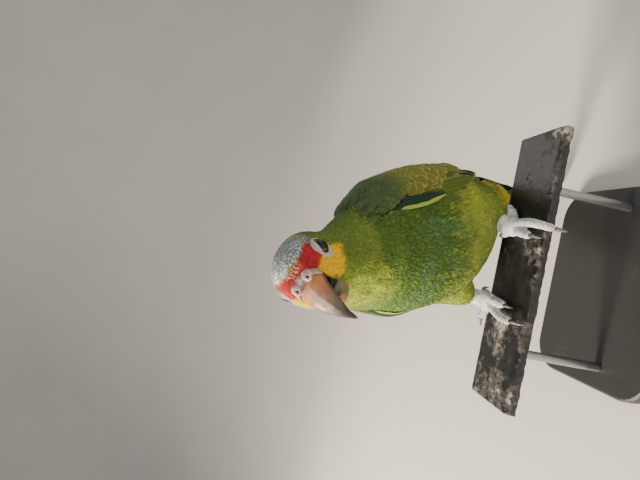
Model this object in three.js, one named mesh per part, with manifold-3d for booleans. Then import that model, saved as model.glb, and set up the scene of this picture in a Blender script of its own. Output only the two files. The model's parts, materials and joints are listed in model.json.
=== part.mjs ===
// Red-lored Amazon parrot, life size, on a cut length of flat handrail held by a plain display stand.
// Millimetres, +Z up. X runs along the rail towards the bird's left, and the bird faces -Y.
// The origin is the middle of the underside of the stand's base.

import * as THREE from 'three';
import * as BufferGeometryUtils from 'three/addons/utils/BufferGeometryUtils.js';
import Module from 'manifold-3d';

const wasm = await Module();
wasm.setup();

// ---------------------------------------------------------------- driving dimensions

const GAP = 0.35; // clearance kept between pieces that touch
const RAIL = { length: 216, width: 60, thickness: 9, top: 100, middle: -17, nose: 3.2 };
const STAND = { length: 168, width: 132, thickness: 12, corner: 26, bevel: 1.6, rodRadius: 3.6, rodReach: 66 };
const PERCH = new THREE.Vector3( 0, -8, RAIL.top ); // midpoint between the feet, on the rail

const HEAD = { at: [ -30.5, -62, 168.4 ], yaw: 19.2, pitch: 11.1, roll: 21, scale: 1.04 };
const EYE = { radius: 6.8, at: [ 0.8, 15.4, 0 ] }; // forward, out, up
const TAIL = {
	feathers: 7, length: 112, shorter: 1.3, halfWidth: 9,
	fan: 2.7, thickness: 1.9, step: 1.1, skew: 0.02, lift: 1.6
};

const COLOURS = {
	green: 0x6f8f2c, deepGreen: 0x46622c, crown: 0x8b9aa6, quill: 0x33422f,
	horn: 0xd9a06a, hornDark: 0x6f6656, cere: 0xc9c2b8, tongue: 0xd9762a,
	eye: 0x22140c, foot: 0xc2c2bb, claw: 0x3c3a3a,
	rail: 0x23241f, base: 0x2b2a28, rod: 0x9a9c9e
};

// ---------------------------------------------------------------- vectors and places

const vec = ( a ) => new THREE.Vector3( ...a );

// A place on the bird, measured from the midpoint between the feet.
const onBird = ( a ) => vec( a ).add( PERCH );

// The head's own frame: forward, left and up, with the middle of the line between the eyes as its origin.
const headFrame = ( () => {

	const turn = ( degrees ) => THREE.MathUtils.degToRad( degrees );
	const up = new THREE.Vector3( 0, 0, 1 );
	const forward = new THREE.Vector3( 0, - 1, 0 ).applyAxisAngle( up, - turn( HEAD.yaw ) );
	const left = new THREE.Vector3( 1, 0, 0 ).applyAxisAngle( up, - turn( HEAD.yaw ) );
	forward.applyAxisAngle( left, turn( HEAD.pitch ) );
	up.applyAxisAngle( left, turn( HEAD.pitch ) );
	left.applyAxisAngle( forward, - turn( HEAD.roll ) );
	up.applyAxisAngle( forward, - turn( HEAD.roll ) );
	return { forward, left, up, origin: onBird( HEAD.at ) };

} )();

const onHead = ( [ f, l, u ] ) => headFrame.origin.clone()
	.addScaledVector( headFrame.forward, f * HEAD.scale )
	.addScaledVector( headFrame.left, l * HEAD.scale )
	.addScaledVector( headFrame.up, u * HEAD.scale );

// ---------------------------------------------------------------- solids

function closedGeometry( points, triangles ) {

	const geometry = new THREE.BufferGeometry();
	const places = points.flatMap( ( p ) => [ p.x, p.y, p.z ] );
	geometry.setAttribute( 'position', new THREE.Float32BufferAttribute( places, 3 ) );
	geometry.setIndex( triangles );
	return geometry;

}

function signedVolume( geometry ) {

	const p = geometry.attributes.position;
	const index = geometry.index.array;
	const [ a, b, c ] = [ new THREE.Vector3(), new THREE.Vector3(), new THREE.Vector3() ];
	let volume = 0;
	for ( let i = 0; i < index.length; i += 3 ) {

		a.fromBufferAttribute( p, index[ i ] );
		b.fromBufferAttribute( p, index[ i + 1 ] );
		c.fromBufferAttribute( p, index[ i + 2 ] );
		volume += a.dot( b.cross( c ) ) / 6;

	}

	return volume;

}

function facingOut( geometry ) {

	if ( signedVolume( geometry ) < 0 ) geometry.index.array.reverse();
	return geometry;

}

function toSolid( geometry ) {

	const bare = geometry.clone();
	bare.deleteAttribute( 'normal' );
	bare.deleteAttribute( 'uv' );
	const merged = facingOut( BufferGeometryUtils.mergeVertices( bare, 1e-4 ) );
	const mesh = new wasm.Mesh( {
		numProp: 3,
		vertProperties: new Float32Array( merged.attributes.position.array ),
		triVerts: new Uint32Array( merged.index.array )
	} );
	return new wasm.Manifold( mesh );

}

function toGeometry( solid ) {

	const mesh = solid.getMesh();
	const geometry = new THREE.BufferGeometry();
	geometry.setAttribute( 'position', new THREE.BufferAttribute( mesh.vertProperties, 3 ) );
	geometry.setIndex( new THREE.BufferAttribute( mesh.triVerts, 1 ) );
	return geometry;

}

// A cut can leave slivers beside the piece that is wanted.
function largestPart( solid ) {

	const parts = solid.decompose();
	return parts.reduce( ( best, part ) => ( part.volume() > best.volume() ? part : best ) );

}

const join = ( solids ) => solids.reduce( ( whole, part ) => whole.add( part ) );
const cutBy = ( solid, tools ) => largestPart( tools.reduce( ( rest, tool ) => rest.subtract( tool ), solid ) );

// ---------------------------------------------------------------- a body through a row of sections

// A section: at, its middle; size, [ half-width, depth on the belly side, depth on the back side ];
// side, the direction of its half-width. Sections follow each other from head to tail.
class Sweep {

	constructor( sections ) {

		const curve = ( list, kind = 'centripetal' ) => new THREE.CatmullRomCurve3( list, false, kind, 0.5 );
		this.count = sections.length - 1;
		this.middle = curve( sections.map( ( s ) => s.at ) );
		this.size = curve( sections.map( ( s ) => vec( s.size ) ), 'catmullrom' );
		this.side = curve( sections.map( ( s ) => s.side ), 'catmullrom' );

	}

	frame( t ) {

		const along = this.middle.getTangent( t );
		const side = this.side.getPoint( t );
		side.addScaledVector( along, - side.dot( along ) ).normalize();
		const back = side.clone().cross( along );
		return { at: this.middle.getPoint( t ), along, side, back, size: this.size.getPoint( t ) };

	}

	// turn is 0 on the left flank, a quarter on the back and three quarters on the belly.
	point( t, turn, lift = 0, square = 2 ) {

		const { at, side, back, size } = this.frame( t );
		const angle = turn * 2 * Math.PI;
		const rounded = ( v ) => Math.sign( v ) * Math.abs( v ) ** ( 2 / square );
		const across = rounded( Math.cos( angle ) );
		const deep = rounded( Math.sin( angle ) );
		const depth = deep > 0 ? size.z : size.y;
		at.addScaledVector( side, across * ( size.x + lift ) );
		return at.addScaledVector( back, deep * ( depth + lift ) );

	}

	body( { rings = this.count * 2, sides = 16, grow = 0, square = 2 } = {} ) {

		const points = [];
		const triangles = [];
		for ( let r = 0; r <= rings; r ++ ) {

			for ( let s = 0; s < sides; s ++ ) points.push( this.point( r / rings, s / sides, grow, square ) );

		}

		for ( let r = 0; r < rings; r ++ ) {

			for ( let s = 0; s < sides; s ++ ) {

				const next = ( s + 1 ) % sides;
				const [ ring, after ] = [ r * sides, ( r + 1 ) * sides ];
				triangles.push( ring + s, ring + next, after + s, ring + next, after + next, after + s );

			}

		}

		const first = this.frame( 0 );
		const last = this.frame( 1 );
		points.push( first.at.addScaledVector( first.along, - grow - 0.1 ) );
		points.push( last.at.addScaledVector( last.along, grow + 0.1 ) );
		const [ front, rear, end ] = [ points.length - 2, points.length - 1, rings * sides ];
		for ( let s = 0; s < sides; s ++ ) {

			const next = ( s + 1 ) % sides;
			triangles.push( front, next, s, rear, end + s, end + next );

		}

		return toSolid( closedGeometry( points, triangles ) );

	}

}

// ---------------------------------------------------------------- neck, trunk and tail base

const LEFT_OF_TRUNK = new THREE.Vector3( 0.92, - 0.39, 0 );
// How far the first sections have turned from the head's left to the trunk's.
const SIDE_TURN = [ 0, 0.1, 0.5, 0.85 ];
const TRUNK_ROW = [ // middle of the section, [ half-width, belly depth, back depth ]
	[ [ - 28, - 50, 160 ], [ 23.5, 18, 18 ] ],
	[ [ - 25.5, - 43, 147 ], [ 33, 27, 23 ] ],
	[ [ - 18, - 32, 133 ], [ 40, 34, 26 ] ],
	[ [ - 8, - 20, 114 ], [ 49, 39, 29 ] ],
	[ [ - 2, - 9, 95 ], [ 52.5, 43, 32 ] ],
	[ [ 4.5, 1, 75 ], [ 53.5, 43, 33 ] ],
	[ [ 13, 12, 55 ], [ 51.5, 40, 31 ] ],
	[ [ 25, 25, 37 ], [ 45, 33, 26 ] ],
	[ [ 39, 38, 20 ], [ 34, 24, 19 ] ],
	[ [ 49, 49, 3 ], [ 24, 13, 12 ] ]
];
const RUMP_ROW = [
	[ [ 55, 58, - 12 ], [ 16.5, 7, 7 ] ],
	[ [ 59, 65, - 24 ], [ 11, 2.5, 3 ] ]
];
const TAIL_ROW = [ // the closed tail, under which the folded wings lie
	[ [ 55, 58, - 12 ], [ 18, 5, 6.5 ] ],
	[ [ 61, 68, - 30 ], [ 19, 3.6, 5 ] ],
	[ [ 67, 79, - 49 ], [ 20, 3, 4 ] ],
	[ [ 72, 89, - 66 ], [ 20, 2.5, 3.4 ] ]
];

function sectionsOf( rows ) {

	return rows.map( ( [ at, size ], i ) => ( {
		at: onBird( at ), size, side: headFrame.left.clone().lerp( LEFT_OF_TRUNK, SIDE_TURN[ i ] ?? 1 )
	} ) );

}

const trunkSweep = new Sweep( sectionsOf( [ ...TRUNK_ROW, ...RUMP_ROW ] ) );
const trunkBody = ( grow ) => trunkSweep.body( { rings: 18, sides: 20, grow } );

// ---------------------------------------------------------------- head, cere, beak, tongue and eyes

const HEAD_ROW = [ // forward, up, half-width, depth below, depth above
	[ 20.5, - 1.5, 7.5, 6, 6.6 ],
	[ 17.5, - 3.5, 11.6, 11.5, 12 ],
	[ 11, - 5, 16.8, 19, 19.2 ],
	[ 4, - 5, 20.2, 23.5, 22.6 ],
	[ - 4, - 5, 22, 24.5, 22.8 ],
	[ - 12, - 5, 22.6, 24.5, 21.4 ],
	[ - 20, - 5, 20, 22, 17.8 ],
	[ - 26, - 6, 14, 16, 12.5 ],
	[ - 29.5, - 7, 5, 6, 6 ]
];

// A sweep given in the head's frame: forward, left, up, then half-width, depth below and depth above.
function headPiece( rows, side = headFrame.left ) {

	return new Sweep( rows.map( ( [ f, l, u, ...size ] ) => ( {
		at: onHead( [ f, l, u ] ), size: size.map( ( v ) => v * HEAD.scale ), side
	} ) ) );

}

const headSweep = headPiece( HEAD_ROW.map( ( [ f, u, ...size ] ) => [ f, 0, u, ...size ] ) );
const headBody = ( grow ) => headSweep.body( { rings: 11, sides: 18, grow, square: 2.15 } );

const UPPER_BEAK_ROW = [
	[ 12, 0, - 3, 9.6, 6, 9 ],
	[ 18.5, 0, - 3, 9.8, 7, 9.2 ],
	[ 24.8, 0, - 4.6, 8.8, 8, 8.8 ],
	[ 29.8, 0, - 9.4, 7.1, 7.4, 7 ],
	[ 32.6, 0, - 16, 5.2, 5.8, 5.2 ],
	[ 33.6, 0, - 22, 3.4, 3.6, 3.6 ],
	[ 33.4, 0, - 27.6, 1.8, 1.6, 2 ],
	[ 33, 0, - 30.2, 0.6, 0.5, 0.6 ]
];
const LOWER_BEAK_ROW = [
	[ 5, 0, - 17, 7.8, 6.5, 5 ],
	[ 11, 0, - 17.6, 9.4, 8.6, 5.6 ],
	[ 17, 0, - 18.8, 9.2, 8.2, 5.6 ],
	[ 22, 0, - 18.8, 7.6, 6, 4.2 ],
	[ 25.4, 0, - 16.4, 5.4, 2.6, 2.2 ],
	[ 26.6, 0, - 15.2, 3.6, 0.8, 0.8 ]
];
const TONGUE_ROW = [
	[ 14, 0, - 12, 3, 2.4, 2 ],
	[ 19, 0, - 11.6, 3.6, 2.8, 2.4 ],
	[ 24, 0, - 12.4, 3.4, 2.6, 2.4 ],
	[ 26.6, 0, - 13.4, 1.6, 1.2, 1.2 ]
];
const upperBeak = headPiece( UPPER_BEAK_ROW );
const upperBeakBody = ( grow ) => upperBeak.body( { rings: 11, sides: 14, grow, square: 2.1 } );
const lowerBeakBody = ( grow ) => headPiece( LOWER_BEAK_ROW ).body( { rings: 7, sides: 12, grow } );
const tongueBody = ( grow ) => headPiece( TONGUE_ROW ).body( { rings: 5, sides: 8, grow } );

// The cere is a low arch of bare skin over the root of the beak, with a mound round each nostril.
const CERE = { forward: 19.5, middle: - 4, wide: 10.4, high: 11, from: - 15, to: 195, thick: 2.1, deep: 3.2 };
const NOSTRIL = { at: [ 20.6, 5.2, 5.4 ], mound: 4.1, pitAt: [ 24.2, 6.6, 7.6 ], pit: 1.2 }; // forward, out, up

function cereBody( grow ) {

	const steps = 8;
	const row = [];
	for ( let i = 0; i <= steps; i ++ ) {

		const angle = THREE.MathUtils.degToRad( CERE.from + ( CERE.to - CERE.from ) * i / steps );
		const end = i === 0 || i === steps ? 0.4 : 1;
		const [ l, u ] = [ CERE.wide * Math.cos( angle ), CERE.middle + CERE.high * Math.sin( angle ) ];
		const at = onHead( [ CERE.forward, l, u ] );
		const size = [ CERE.deep, CERE.thick, CERE.thick ].map( ( v ) => v * end );
		row.push( { at, size, side: headFrame.forward } );

	}

	const arch = new Sweep( row ).body( { rings: 8, sides: 6, grow } );
	const mounds = [ 1, - 1 ].map( ( way ) => ball( onBothSides( NOSTRIL.at, way ), NOSTRIL.mound + grow, 7 ) );
	return join( [ arch, ...mounds ] );

}

const onBothSides = ( [ f, out, u ], way ) => onHead( [ f, way * out, u ] );

function ball( at, radius, segments ) {

	const geometry = new THREE.SphereGeometry( radius, segments, Math.round( segments * 0.6 ) );
	return toSolid( geometry.translate( at.x, at.y, at.z ) );

}

const nostrilPits = [ 1, - 1 ].map( ( way ) => ball( onBothSides( NOSTRIL.pitAt, way ), NOSTRIL.pit, 6 ) );
const eyeBody = ( way, grow ) => ball( onBothSides( EYE.at, way ), EYE.radius + grow, 12 );

// ---------------------------------------------------------------- wings

// Where the wings lie: t runs from the head to the tip of the tail over the coat's own shape.
const coatRow = [ ...TRUNK_ROW, ...TAIL_ROW ];
const coatSweep = new Sweep( sectionsOf( coatRow ) );
const atSection = ( n ) => n / ( coatRow.length - 1 );

// Straight lines between the pairs of a short list.
function profile( pairs ) {

	return ( x ) => {

		const next = pairs.findIndex( ( [ a ] ) => a > x );
		if ( next === 0 ) return pairs[ 0 ][ 1 ];
		if ( next < 0 ) return pairs[ pairs.length - 1 ][ 1 ];
		const [ [ x0, y0 ], [ x1, y1 ] ] = [ pairs[ next - 1 ], pairs[ next ] ];
		return y0 + ( y1 - y0 ) * ( x - x0 ) / ( x1 - x0 );

	};

}

// The folded wing's lower and upper edges, in turns round the coat from the flank towards the back.
const alongCoat = ( pairs ) => profile( pairs.map( ( [ n, v ] ) => [ atSection( n ), v ] ) );
const lowerEdge = alongCoat( [
	[ 1.5, - 0.02 ], [ 2.2, - 0.06 ], [ 3.5, - 0.075 ], [ 5, - 0.05 ],
	[ 7, - 0.02 ], [ 9, 0.02 ], [ 11, 0.08 ], [ 13, 0.12 ]
] );
const upperEdge = alongCoat( [ [ 1.5, 0.17 ], [ 2.4, 0.2 ], [ 4, 0.215 ], [ 9, 0.225 ], [ 13, 0.235 ] ] );

// The folded wing is one plate over the coat with three tiers of plumage, each standing proud of the next.
// A tier ends in lobes, its feather tips, and its lower feathers end further forward than its upper ones.
const WING = {
	start: 1.7, shoulder: 0.5, under: 1.4, tight: 0.66, edge: 0.3,
	across: 8, lobes: 4, sweep: 0.9, ledge: 0.12
};
const WING_TIERS = [ // end of the tier in sections, thickness at its start and end, depth of its lobes, rows
	{ end: 7, thick: [ 8, 7.6 ], dip: 0.4, rows: 5 },
	{ end: 9.6, thick: [ 5.2, 4 ], dip: 0.5, rows: 3 },
	{ end: 12.1, thick: [ 2.6, 2 ], dip: 0.9, rows: 3 }
];

// Rows of the plate from the shoulder to the tip: how far along for each place v across, and how thick.
function wingRows() {

	const endOf = ( tier, v ) => {

		const lobe = Math.abs( Math.sin( Math.PI * WING.lobes * v ) );
		return tier.end - WING.sweep * ( 1 - v ) - tier.dip * ( 1 - lobe );

	};

	const startOf = ( v ) => WING.start + WING.shoulder * ( 2 * v - 1 ) ** 2;
	const rows = [ { far: startOf, thick: 3 } ];
	WING_TIERS.forEach( ( tier, n ) => {

		const from = n === 0 ? startOf : ( v ) => endOf( WING_TIERS[ n - 1 ], v ) + WING.ledge;
		for ( let i = n === 0 ? 1 : 0; i <= tier.rows; i ++ ) {

			const part = i / tier.rows;
			rows.push( {
				far: ( v ) => from( v ) + ( endOf( tier, v ) - from( v ) ) * part,
				thick: tier.thick[ 0 ] + ( tier.thick[ 1 ] - tier.thick[ 0 ] ) * part
			} );

		}

	} );
	return rows;

}

// The left wing hangs loose and the right one is held tight to the flank.
function wingBody( way, grow ) {

	const hold = way > 0 ? 1 : WING.tight;
	const rows = wingRows();
	const columns = WING.across + 1;
	const outer = [];
	const inner = [];
	for ( const { far, thick } of rows ) {

		for ( let j = 0; j < columns; j ++ ) {

			const v = j / WING.across;
			const t = atSection( far( v ) );
			const turn = lowerEdge( t ) + ( upperEdge( t ) - lowerEdge( t ) ) * v;
			const placed = way > 0 ? turn : 0.5 - turn;
			const round = WING.edge + ( 1 - WING.edge ) * ( 1 - Math.abs( 2 * v - 1 ) ** 4 ) ** 0.5;
			outer.push( coatSweep.point( t, placed, WING.under + hold * thick * round + grow ) );
			inner.push( coatSweep.point( t, placed, WING.under - grow ) );

		}

	}

	const under = outer.length;
	const last = rows.length - 1;
	const triangles = [];
	const quad = ( a, b, c, d ) => triangles.push( a, b, c, b, d, c );
	for ( let i = 0; i < last; i ++ ) {

		for ( let j = 0; j < WING.across; j ++ ) {

			const [ a, b ] = [ i * columns + j, ( i + 1 ) * columns + j ];
			quad( a, a + 1, b, b + 1 );
			quad( under + a + 1, under + a, under + b + 1, under + b );

		}

		const [ low, high ] = [ i * columns, i * columns + WING.across ];
		quad( under + low, low, under + low + columns, low + columns );
		quad( high, under + high, high + columns, under + high + columns );

	}

	for ( let j = 0; j < WING.across; j ++ ) {

		const tip = last * columns + j;
		quad( under + j, under + j + 1, j, j + 1 );
		quad( tip, tip + 1, under + tip, under + tip + 1 );

	}

	return toSolid( closedGeometry( [ ...outer, ...inner ], triangles ) );

}

// ---------------------------------------------------------------- tail

// Flat quills that overlap like a hand of cards, the middle one on top.
function tailQuill( n, grow ) {

	const start = onBird( [ 52, 53, - 4 ] );
	const end = onBird( TAIL_ROW[ TAIL_ROW.length - 1 ][ 0 ] );
	const axis = end.clone().sub( start ).normalize();
	const side = LEFT_OF_TRUNK.clone().addScaledVector( axis, - LEFT_OF_TRUNK.dot( axis ) ).normalize();
	const back = side.clone().cross( axis );
	const fan = THREE.MathUtils.degToRad( TAIL.fan * n );
	const along = axis.clone().multiplyScalar( Math.cos( fan ) ).addScaledVector( side, Math.sin( fan ) );
	const length = TAIL.length - TAIL.shorter * n * n;
	const lift = TAIL.lift - TAIL.step * Math.abs( n ) - TAIL.skew * n;
	const row = [ [ 0, 0.6 ], [ 0.3, 0.9 ], [ 0.6, 1 ], [ 0.85, 1.02 ], [ 0.95, 0.8 ], [ 1, 0.2 ] ];
	return new Sweep( row.map( ( [ far, wide ] ) => ( {
		at: start.clone().addScaledVector( along, far * length ).addScaledVector( back, lift ),
		size: [ TAIL.halfWidth * wide, TAIL.thickness / 2, TAIL.thickness / 2 ],
		side
	} ) ) ).body( { rings: 5, sides: 4, grow } );

}

function tailBody( grow ) {

	const half = ( TAIL.feathers - 1 ) / 2;
	const quills = [];
	for ( let n = - half; n <= half; n ++ ) quills.push( tailQuill( n, grow ) );
	return join( quills );

}

// ---------------------------------------------------------------- legs

// A toe: root on the ball of the foot, headings at its root and end in degrees from straight ahead
// towards the bird's left, length, bend of its last joint over the rail's edge, claw length, and
// the claw's slope at its root and tip in degrees below level.
const toe = ( root, headings, length, bend, claw, slopes ) => ( { root, headings, length, bend, claw, slopes } );
const LEGS = {
	left: {
		thigh: [ // middle, [ half-width, front, back ]
			[ [ 34, 13, 52 ], [ 24, 22, 20 ] ],
			[ [ 38, 9, 38 ], [ 26, 23, 20 ] ],
			[ [ 41, 6, 24 ], [ 20, 18, 18 ] ],
			[ [ 40, 4, 14 ], [ 12, 10, 11 ] ],
			[ [ 39, 3, 8.5 ], [ 3, 3, 3 ] ]
		],
		shank: [
			[ [ 35, 6, 30 ], [ 4.6, 4.4, 4.4 ] ],
			[ [ 33, 1, 19 ], [ 6, 5, 5 ] ],
			[ [ 31.5, - 5, 10 ], [ 7.8, 5.2, 5.6 ] ],
			[ [ 31, - 9, 6.2 ], [ 8.4, 5.2, 5 ] ],
			[ [ 31, - 13.5, 5 ], [ 6.4, 3.4, 3.6 ] ]
		],
		toes: {
			outer_front: toe( [ 33, - 10, 6 ], [ 9, - 16 ], 36, 62, 14, [ 76, 106 ] ),
			inner_front: toe( [ 29, - 10, 6 ], [ - 16, - 8 ], 20, 0, 12, [ 0, 44 ] ),
			outer_rear: toe( [ 34, - 6, 6 ], [ 122, 152 ], 21, 0, 11, [ 0, 48 ] ),
			inner_rear: toe( [ 29.4, - 5, 6 ], [ - 155, - 165 ], 13, 0, 10, [ 0, 48 ] )
		}
	},
	right: {
		thigh: [
			[ [ - 17, 21, 66 ], [ 26, 22, 18 ] ],
			[ [ - 21, 18, 48 ], [ 24, 20, 17 ] ],
			[ [ - 26, 15, 32 ], [ 16, 15, 13 ] ],
			[ [ - 30, 13, 22 ], [ 10, 9, 8 ] ],
			[ [ - 31, 12, 17 ], [ 3, 3, 3 ] ]
		],
		shank: [
			[ [ - 26, 17, 36 ], [ 4.6, 4.4, 4.4 ] ],
			[ [ - 28.5, 14.5, 24 ], [ 5.8, 5, 5 ] ],
			[ [ - 30, 11, 13 ], [ 7.2, 5.2, 5.6 ] ],
			[ [ - 31, 6, 7 ], [ 8, 5.4, 5 ] ],
			[ [ - 32, 1.5, 5.2 ], [ 6, 3.4, 3.6 ] ]
		],
		toes: {
			outer_front: toe( [ - 33.5, 4, 6 ], [ - 28, 0 ], 31, 0, 18, [ - 6, 66 ] ),
			inner_front: toe( [ - 29.6, 3, 6 ], [ - 1, - 5 ], 17, 0, 10.5, [ 0, 48 ] ),
			outer_rear: toe( [ - 34, 9, 6 ], [ - 120, - 118 ], 13, 0, 10.5, [ 0, 46 ] ),
			inner_rear: toe( [ - 28.6, 10, 6 ], [ 145, 153 ], 9, 0, 12, [ 0, 90 ] )
		}
	}
};
const TOE = { root: 4.5, end: 3.3, deep: 0.95, joints: 4, settle: 9, bendFrom: 0.6 };
const CLAW = { root: 2.5, tip: 0.35, deep: 1.15, joints: 3, taper: 1.3 };

function legSweep( rows ) {

	return new Sweep( rows.map( ( [ at, size ] ) => ( { at: onBird( at ), size, side: LEFT_OF_TRUNK } ) ) );

}

// The next point of a path, from its heading and its slope below level, both in degrees.
function onward( point, heading, slope, distance ) {

	const [ h, p ] = [ heading, slope ].map( THREE.MathUtils.degToRad );
	const level = distance * Math.cos( p );
	const step = new THREE.Vector3( level * Math.sin( h ), - level * Math.cos( h ), - distance * Math.sin( p ) );
	return point.clone().add( step );

}

function toePoints( { root, headings: [ start, end ], length, bend } ) {

	const points = [ onBird( root ) ];
	for ( let i = 0; i < TOE.joints; i ++ ) {

		const part = i / ( TOE.joints - 1 );
		const bent = Math.max( 0, ( part - TOE.bendFrom ) / ( 1 - TOE.bendFrom ) );
		const slope = i === 0 ? TOE.settle : bend * bent;
		points.push( onward( points[ i ], start + ( end - start ) * part, slope, length / TOE.joints ) );

	}

	return points;

}

function levelSide( heading ) {

	const h = THREE.MathUtils.degToRad( heading );
	return new THREE.Vector3( Math.cos( h ), Math.sin( h ), 0 );

}

function toeBody( toe, grow ) {

	const points = toePoints( toe );
	const side = levelSide( ( toe.headings[ 0 ] + toe.headings[ 1 ] ) / 2 );
	const sections = points.map( ( at, i ) => {

		const radius = TOE.root + ( TOE.end - TOE.root ) * i / TOE.joints;
		return { at, size: [ radius, radius * TOE.deep, radius * TOE.deep ], side };

	} );
	const [ before, end ] = points.slice( - 2 );
	sections.push( { at: end.clone().add( end.clone().sub( before ).setLength( 2 ) ), size: [ 1, 1, 1 ], side } );
	return new Sweep( sections ).body( { rings: 8, sides: 7, grow } );

}

function clawBody( toe, grow ) {

	const heading = toe.headings[ 1 ];
	const [ before, end ] = toePoints( toe ).slice( - 2 );
	const points = [ before.lerp( end, 0.6 ), end ];
	for ( let i = 0; i < CLAW.joints; i ++ ) {

		const [ root, tip ] = toe.slopes;
		const slope = root + ( tip - root ) * i / ( CLAW.joints - 1 );
		points.push( onward( points[ i + 1 ], heading, slope, toe.claw / CLAW.joints ) );

	}

	const last = points.length - 1;
	return new Sweep( points.map( ( at, i ) => {

		const radius = CLAW.root + ( CLAW.tip - CLAW.root ) * ( i / last ) ** CLAW.taper;
		return { at, size: [ radius, radius * CLAW.deep, radius * CLAW.deep ], side: levelSide( heading ) };

	} ) ).body( { rings: 4, sides: 5, grow } );

}

// ---------------------------------------------------------------- perch and stand

function roundedRectangle( length, width, radius ) {

	const [ x, y ] = [ length / 2, width / 2 ];
	const shape = new THREE.Shape();
	shape.moveTo( x, y - radius );
	shape.absarc( x - radius, y - radius, radius, 0, Math.PI / 2 );
	shape.absarc( - x + radius, y - radius, radius, Math.PI / 2, Math.PI );
	shape.absarc( - x + radius, - y + radius, radius, Math.PI, 1.5 * Math.PI );
	shape.absarc( x - radius, - y + radius, radius, 1.5 * Math.PI, 2 * Math.PI );
	shape.closePath();
	return shape;

}

function railBody( grow ) {

	const section = roundedRectangle( RAIL.width + 2 * grow, RAIL.thickness + 2 * grow, RAIL.nose + grow );
	const options = { depth: RAIL.length, bevelEnabled: false, curveSegments: 4 };
	const geometry = new THREE.ExtrudeGeometry( section, options );
	geometry.rotateX( Math.PI / 2 ).rotateZ( Math.PI / 2 );
	return toSolid( geometry.translate( - RAIL.length / 2, RAIL.middle, RAIL.top - RAIL.thickness / 2 ) );

}

function baseBody() {

	const { length, width, thickness, corner, bevel } = STAND;
	const outline = roundedRectangle( length - 2 * bevel, width - 2 * bevel, corner - bevel );
	const geometry = new THREE.ExtrudeGeometry( outline, {
		depth: thickness - 2 * bevel, bevelThickness: bevel, bevelSize: bevel, bevelSegments: 1, curveSegments: 4
	} );
	return toSolid( geometry.translate( 0, 0, bevel ) );

}

function rodBody( way ) {

	const [ from, to ] = [ STAND.thickness + GAP, RAIL.top - RAIL.thickness - GAP ];
	const geometry = new THREE.CylinderGeometry( STAND.rodRadius, STAND.rodRadius, to - from, 16 );
	geometry.rotateX( Math.PI / 2 ).translate( way * STAND.rodReach, RAIL.middle, ( from + to ) / 2 );
	return toSolid( geometry );

}

// ---------------------------------------------------------------- assembly

const parrot = new THREE.Group();

function addPiece( name, solid, colour, roughness = 0.8, metalness = 0 ) {

	const material = new THREE.MeshStandardMaterial( { color: colour, roughness, metalness } );
	const mesh = new THREE.Mesh( toGeometry( solid ), material );
	mesh.name = name;
	parrot.add( mesh );

}

const SIDES = [ [ 'left', 1 ], [ 'right', - 1 ] ];

// Head and beak.
const beakTools = [ upperBeakBody( GAP ), lowerBeakBody( GAP ), tongueBody( GAP ) ];
const eyeTools = SIDES.map( ( [ , way ] ) => eyeBody( way, GAP ) );
addPiece( 'head', cutBy( headBody( 0 ), [ ...beakTools, ...eyeTools ] ), COLOURS.crown );
addPiece( 'upper_beak', upperBeakBody( 0 ), COLOURS.horn, 0.45 );
const lowerBeak = cutBy( lowerBeakBody( 0 ), [ upperBeakBody( GAP ), tongueBody( GAP ) ] );
addPiece( 'lower_beak', lowerBeak, COLOURS.hornDark, 0.5 );
addPiece( 'tongue', cutBy( tongueBody( 0 ), [ upperBeakBody( GAP ) ] ), COLOURS.tongue, 0.5 );
const cere = cutBy( cereBody( 0 ), [ upperBeakBody( GAP ), headBody( GAP ), ...nostrilPits ] );
addPiece( 'cere', cere, COLOURS.cere, 0.7 );
for ( const [ name, way ] of SIDES ) addPiece( `eye_${ name }`, eyeBody( way, 0 ), COLOURS.eye, 0.1 );

// Neck and trunk, parted by a thin slab square to the neck.
const NECK_CUT = { section: 2.35, across: 200 };
const cutFrame = trunkSweep.frame( NECK_CUT.section / trunkSweep.count );
const cutTurn = new THREE.Matrix4().makeBasis( cutFrame.side, cutFrame.back, cutFrame.along );
const slab = new THREE.BoxGeometry( NECK_CUT.across, NECK_CUT.across, GAP );
slab.applyMatrix4( cutTurn.setPosition( cutFrame.at ) );
const wholeTrunk = trunkBody( 0 ).subtract( headBody( GAP ) ).subtract( lowerBeakBody( GAP ) )
	.subtract( upperBeakBody( GAP ) ).subtract( toSolid( slab ) );
const [ trunk, neck ] = wholeTrunk.decompose().sort( ( a, b ) => b.volume() - a.volume() );
addPiece( 'neck', neck, COLOURS.green );
addPiece( 'trunk', trunk, COLOURS.green );

// Tail, thighs and wings, each fitted to what lies under it.
addPiece( 'tail', cutBy( tailBody( 0 ), [ trunkBody( GAP ) ] ), COLOURS.quill );
const thighBody = ( name, grow ) => legSweep( LEGS[ name ].thigh ).body( { rings: 7, sides: 12, grow } );
for ( const [ name, way ] of SIDES ) {

	addPiece( `thigh_${ name }`, cutBy( thighBody( name, 0 ), [ trunkBody( GAP ) ] ), COLOURS.green );
	const under = [ trunkBody( GAP ), tailBody( GAP ), thighBody( name, GAP ), headBody( GAP ) ];
	addPiece( `wing_${ name }`, cutBy( wingBody( way, 0 ), under ), COLOURS.deepGreen );

}

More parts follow.
